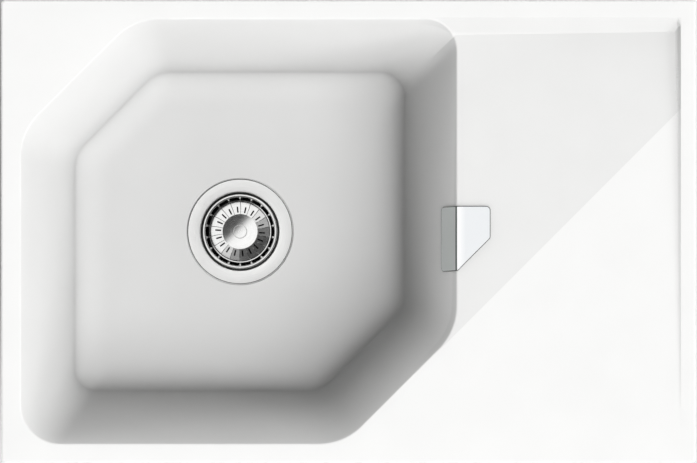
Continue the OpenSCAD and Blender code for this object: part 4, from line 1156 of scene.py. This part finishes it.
def make_hose():
    route, total = hose_route(240)
    rings_per_rib = 8
    line = bpy.data.meshes.new("hose_line")
    line.from_pydata([tuple(p * MM) for p in route], [(k, k + 1) for k in range(len(route) - 1)], [])
    hose = bpy.data.objects.new("overflow_hose_ribbed", line)
    bpy.context.scene.collection.objects.link(hose)
    grown("hose_ribs", hose, hose_tree, hose_plastic, {
        "rings": int(total / hose_pitch * rings_per_rib), "sides": 40, "pitch": hose_pitch * MM,
        "cuff": 2 * hose_r * MM, "rib height": rib_h * MM, "radius": (hose_r - 0.05) * MM})
    shade(hose, 60)
    return place_piece(hose, "root", "hose_plastic", "overflow_hose")


def nut_form():
    """Union nut along Z: open at z = 0, closed in on the hose at the far end."""
    outer = union_r + 2.6
    profile = filleted([
        (union_r, 0, 0.3), (outer, 0, 0.6), (outer, nut_l - 2, 0), (outer - 2, nut_l, 0.8),
        (hose_r + 0.3, nut_l, 0.4), (hose_r + 0.3, nut_l - 8, 0.3), (union_r, nut_l - 8, 0)], 3)
    return lathe(profile, 80)


def grip_tree(tree, entry):
    """Grip ribs round a nut, added to it."""
    both = add(tree, "GeometryNodeJoinGeometry", give=None)
    for shape in (ring_of_bars(tree, entry, "rib", 0.0, math.radians(360 / grip_count)), entry["Geometry"]):
        tree.links.new(shape, both.inputs[0])
    return both.outputs[0]


def make_nut(name, lay, node):
    nut = form_object(name, nut_form(), waste_plastic)
    grown(name + "_grips", nut, grip_tree, waste_plastic, {
        "count": grip_count, "rib depth": 2.2 * MM, "rib width": 2.8 * MM, "rib height": (nut_l - 6) * MM,
        "rib radius": (union_r + 2.7) * MM, "rib level": (nut_l - 2) / 2 * MM})
    bevelled(nut, 0.35, 40)
    to_metres = Matrix.Diagonal((MM,) * 3).to_4x4()
    nut.data.transform(to_metres @ lay @ to_metres.inverted())
    shade(nut, 35)
    return place_piece(nut, "root", "black_plastic", node)


make_sink()
make_flange()
make_basket()
make_knob()
make_cover()
make_hose()
make_nut("hose_nut_upper", shift(hose_top.x, hose_top.y, hose_top.z + nut_l - 8) @ turned(180, "X"),
         "hose_nut_top")
make_nut("hose_nut_lower", shift(hose_end.x - nut_l + 8, 0, hose_end.z) @ ALONG_X, "hose_nut_bottom")

carried_nodes = {
    seal_foam: ["rim_seal"],
    rubber: ["flange_gasket", "waste_gasket", "basket_plug", "cover_pads", "overflow_gasket", "hose_seals"],
    waste_plastic: ["waste_housing", "overflow_elbow"],
    brass: ["housing_insert", "clip_inserts"],
    plain_steel: ["fixing_screw", "basket_stem", "basket_washer", "click_ring", "overflow_bridge",
                  "overflow_screw"],
    zinc_steel: ["clip_screws", "clip_washers"],
    clip_plastic: [f"clip_{i}" for i in range(1, 9)],
}
for material, nodes in carried_nodes.items():
    for node in nodes:
        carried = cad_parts[node]
        carried.data.materials.clear()
        carried.data.materials.append(material)


# Studio

def make_floor():
    """Pale board under the sink."""
    half = 14000
    level = cad_box[0].z / MM - 0.1
    corners = [(-half, -half, level), (half, -half, level), (half, half, level), (-half, half, level)]
    form_object("studio_floor", (corners, [[0, 1, 2, 3]]), board)


def make_sky():
    """Even studio sky. Steel sees a darker side to the front right, as in a studio with one open end."""
    world = bpy.data.worlds.new("studio")
    bpy.context.scene.world = world
    world.use_nodes = True
    tree = world.node_tree
    tree.nodes.clear()
    way = add(tree, "ShaderNodeTexCoord", give="Generated")
    diagonal = math.sqrt(0.5)
    lean = add(tree, VECTOR, {0: way, 1: (-diagonal, diagonal, 0)}, "Value", operation="DOT_PRODUCT")
    mirrored = add(tree, RANGE, {0: lean, 1: -0.26, 2: 0.05, 3: 0.1, 4: 1.4}, interpolation_type="SMOOTHSTEP")
    height = add(tree, SPLIT, {0: way}, "Z")
    front = add(tree, RANGE, {0: lean, 1: -0.1, 2: 0.1, 3: 1, 4: 0})
    # A long soft box stands to the front right, and a lower one opposite
    box_light, low_light, sky_light = 2.5, 1.75, 0.11
    box_foot = add(tree, RANGE, {0: height, 1: 0.21, 2: 0.3})
    box_top = add(tree, RANGE, {0: height, 1: 0.45, 2: 0.56, 3: box_light, 4: 0})
    low_top = add(tree, RANGE, {0: height, 1: 0.2, 2: 0.32, 3: low_light, 4: 0})
    box = add(tree, MATH, {0: box_foot, 1: box_top}, **TIMES)
    boxes = add(tree, MIX, {"Factor": front, "A": low_top, "B": box})
    boxes = add(tree, MATH, {0: boxes, 1: sky_light}, **PLUS)
    rays = add(tree, "ShaderNodeLightPath", give=None).outputs
    level = add(tree, MIX, {"Factor": rays["Is Glossy Ray"], "A": boxes, "B": mirrored})
    seen = add(tree, MIX, {"Factor": rays["Is Camera Ray"], "A": level, "B": 1.0})
    sky = add(tree, "ShaderNodeBackground", {"Color": linear("#FFFFFF"), "Strength": seen})
    add(tree, "ShaderNodeOutputWorld", {"Surface": sky}, None)


def make_sun(name, energy, size, azimuth, elevation):
    """A sun lamp from an azimuth, anticlockwise from +X, and an elevation. size is its width in the sky."""
    data = bpy.data.lights.new(name, "SUN")
    data.energy = energy
    data.angle = math.radians(size)
    lamp = bpy.data.objects.new(name, data)
    bpy.context.scene.collection.objects.link(lamp)
    a, e = math.radians(azimuth), math.radians(elevation)
    toward = Vector((math.cos(a) * math.cos(e), math.sin(a) * math.cos(e), math.sin(e)))
    lamp.rotation_euler = toward.to_track_quat("Z", "Y").to_euler()
    lamp.visible_glossy = False
    return lamp


def make_camera():
    """Straight above, so far off that the view is almost without perspective."""
    lens, sensor = 800, 36
    data = bpy.data.cameras.new("overhead")
    data.lens = lens
    data.sensor_width = sensor
    data.clip_end = 100
    frame_aspect = 697 / 463
    shown_w = max(sink_l, sink_w * frame_aspect) * MM
    camera = bpy.data.objects.new("overhead", data)
    bpy.context.scene.collection.objects.link(camera)
    camera.location = (0, 0, rim_h * MM + shown_w * lens / sensor)
    bpy.context.scene.camera = camera


make_floor()
make_sky()
make_sun("key", 2.3, 42, -40, 65)
make_camera()
bpy.context.scene.view_settings.view_transform = "Standard"
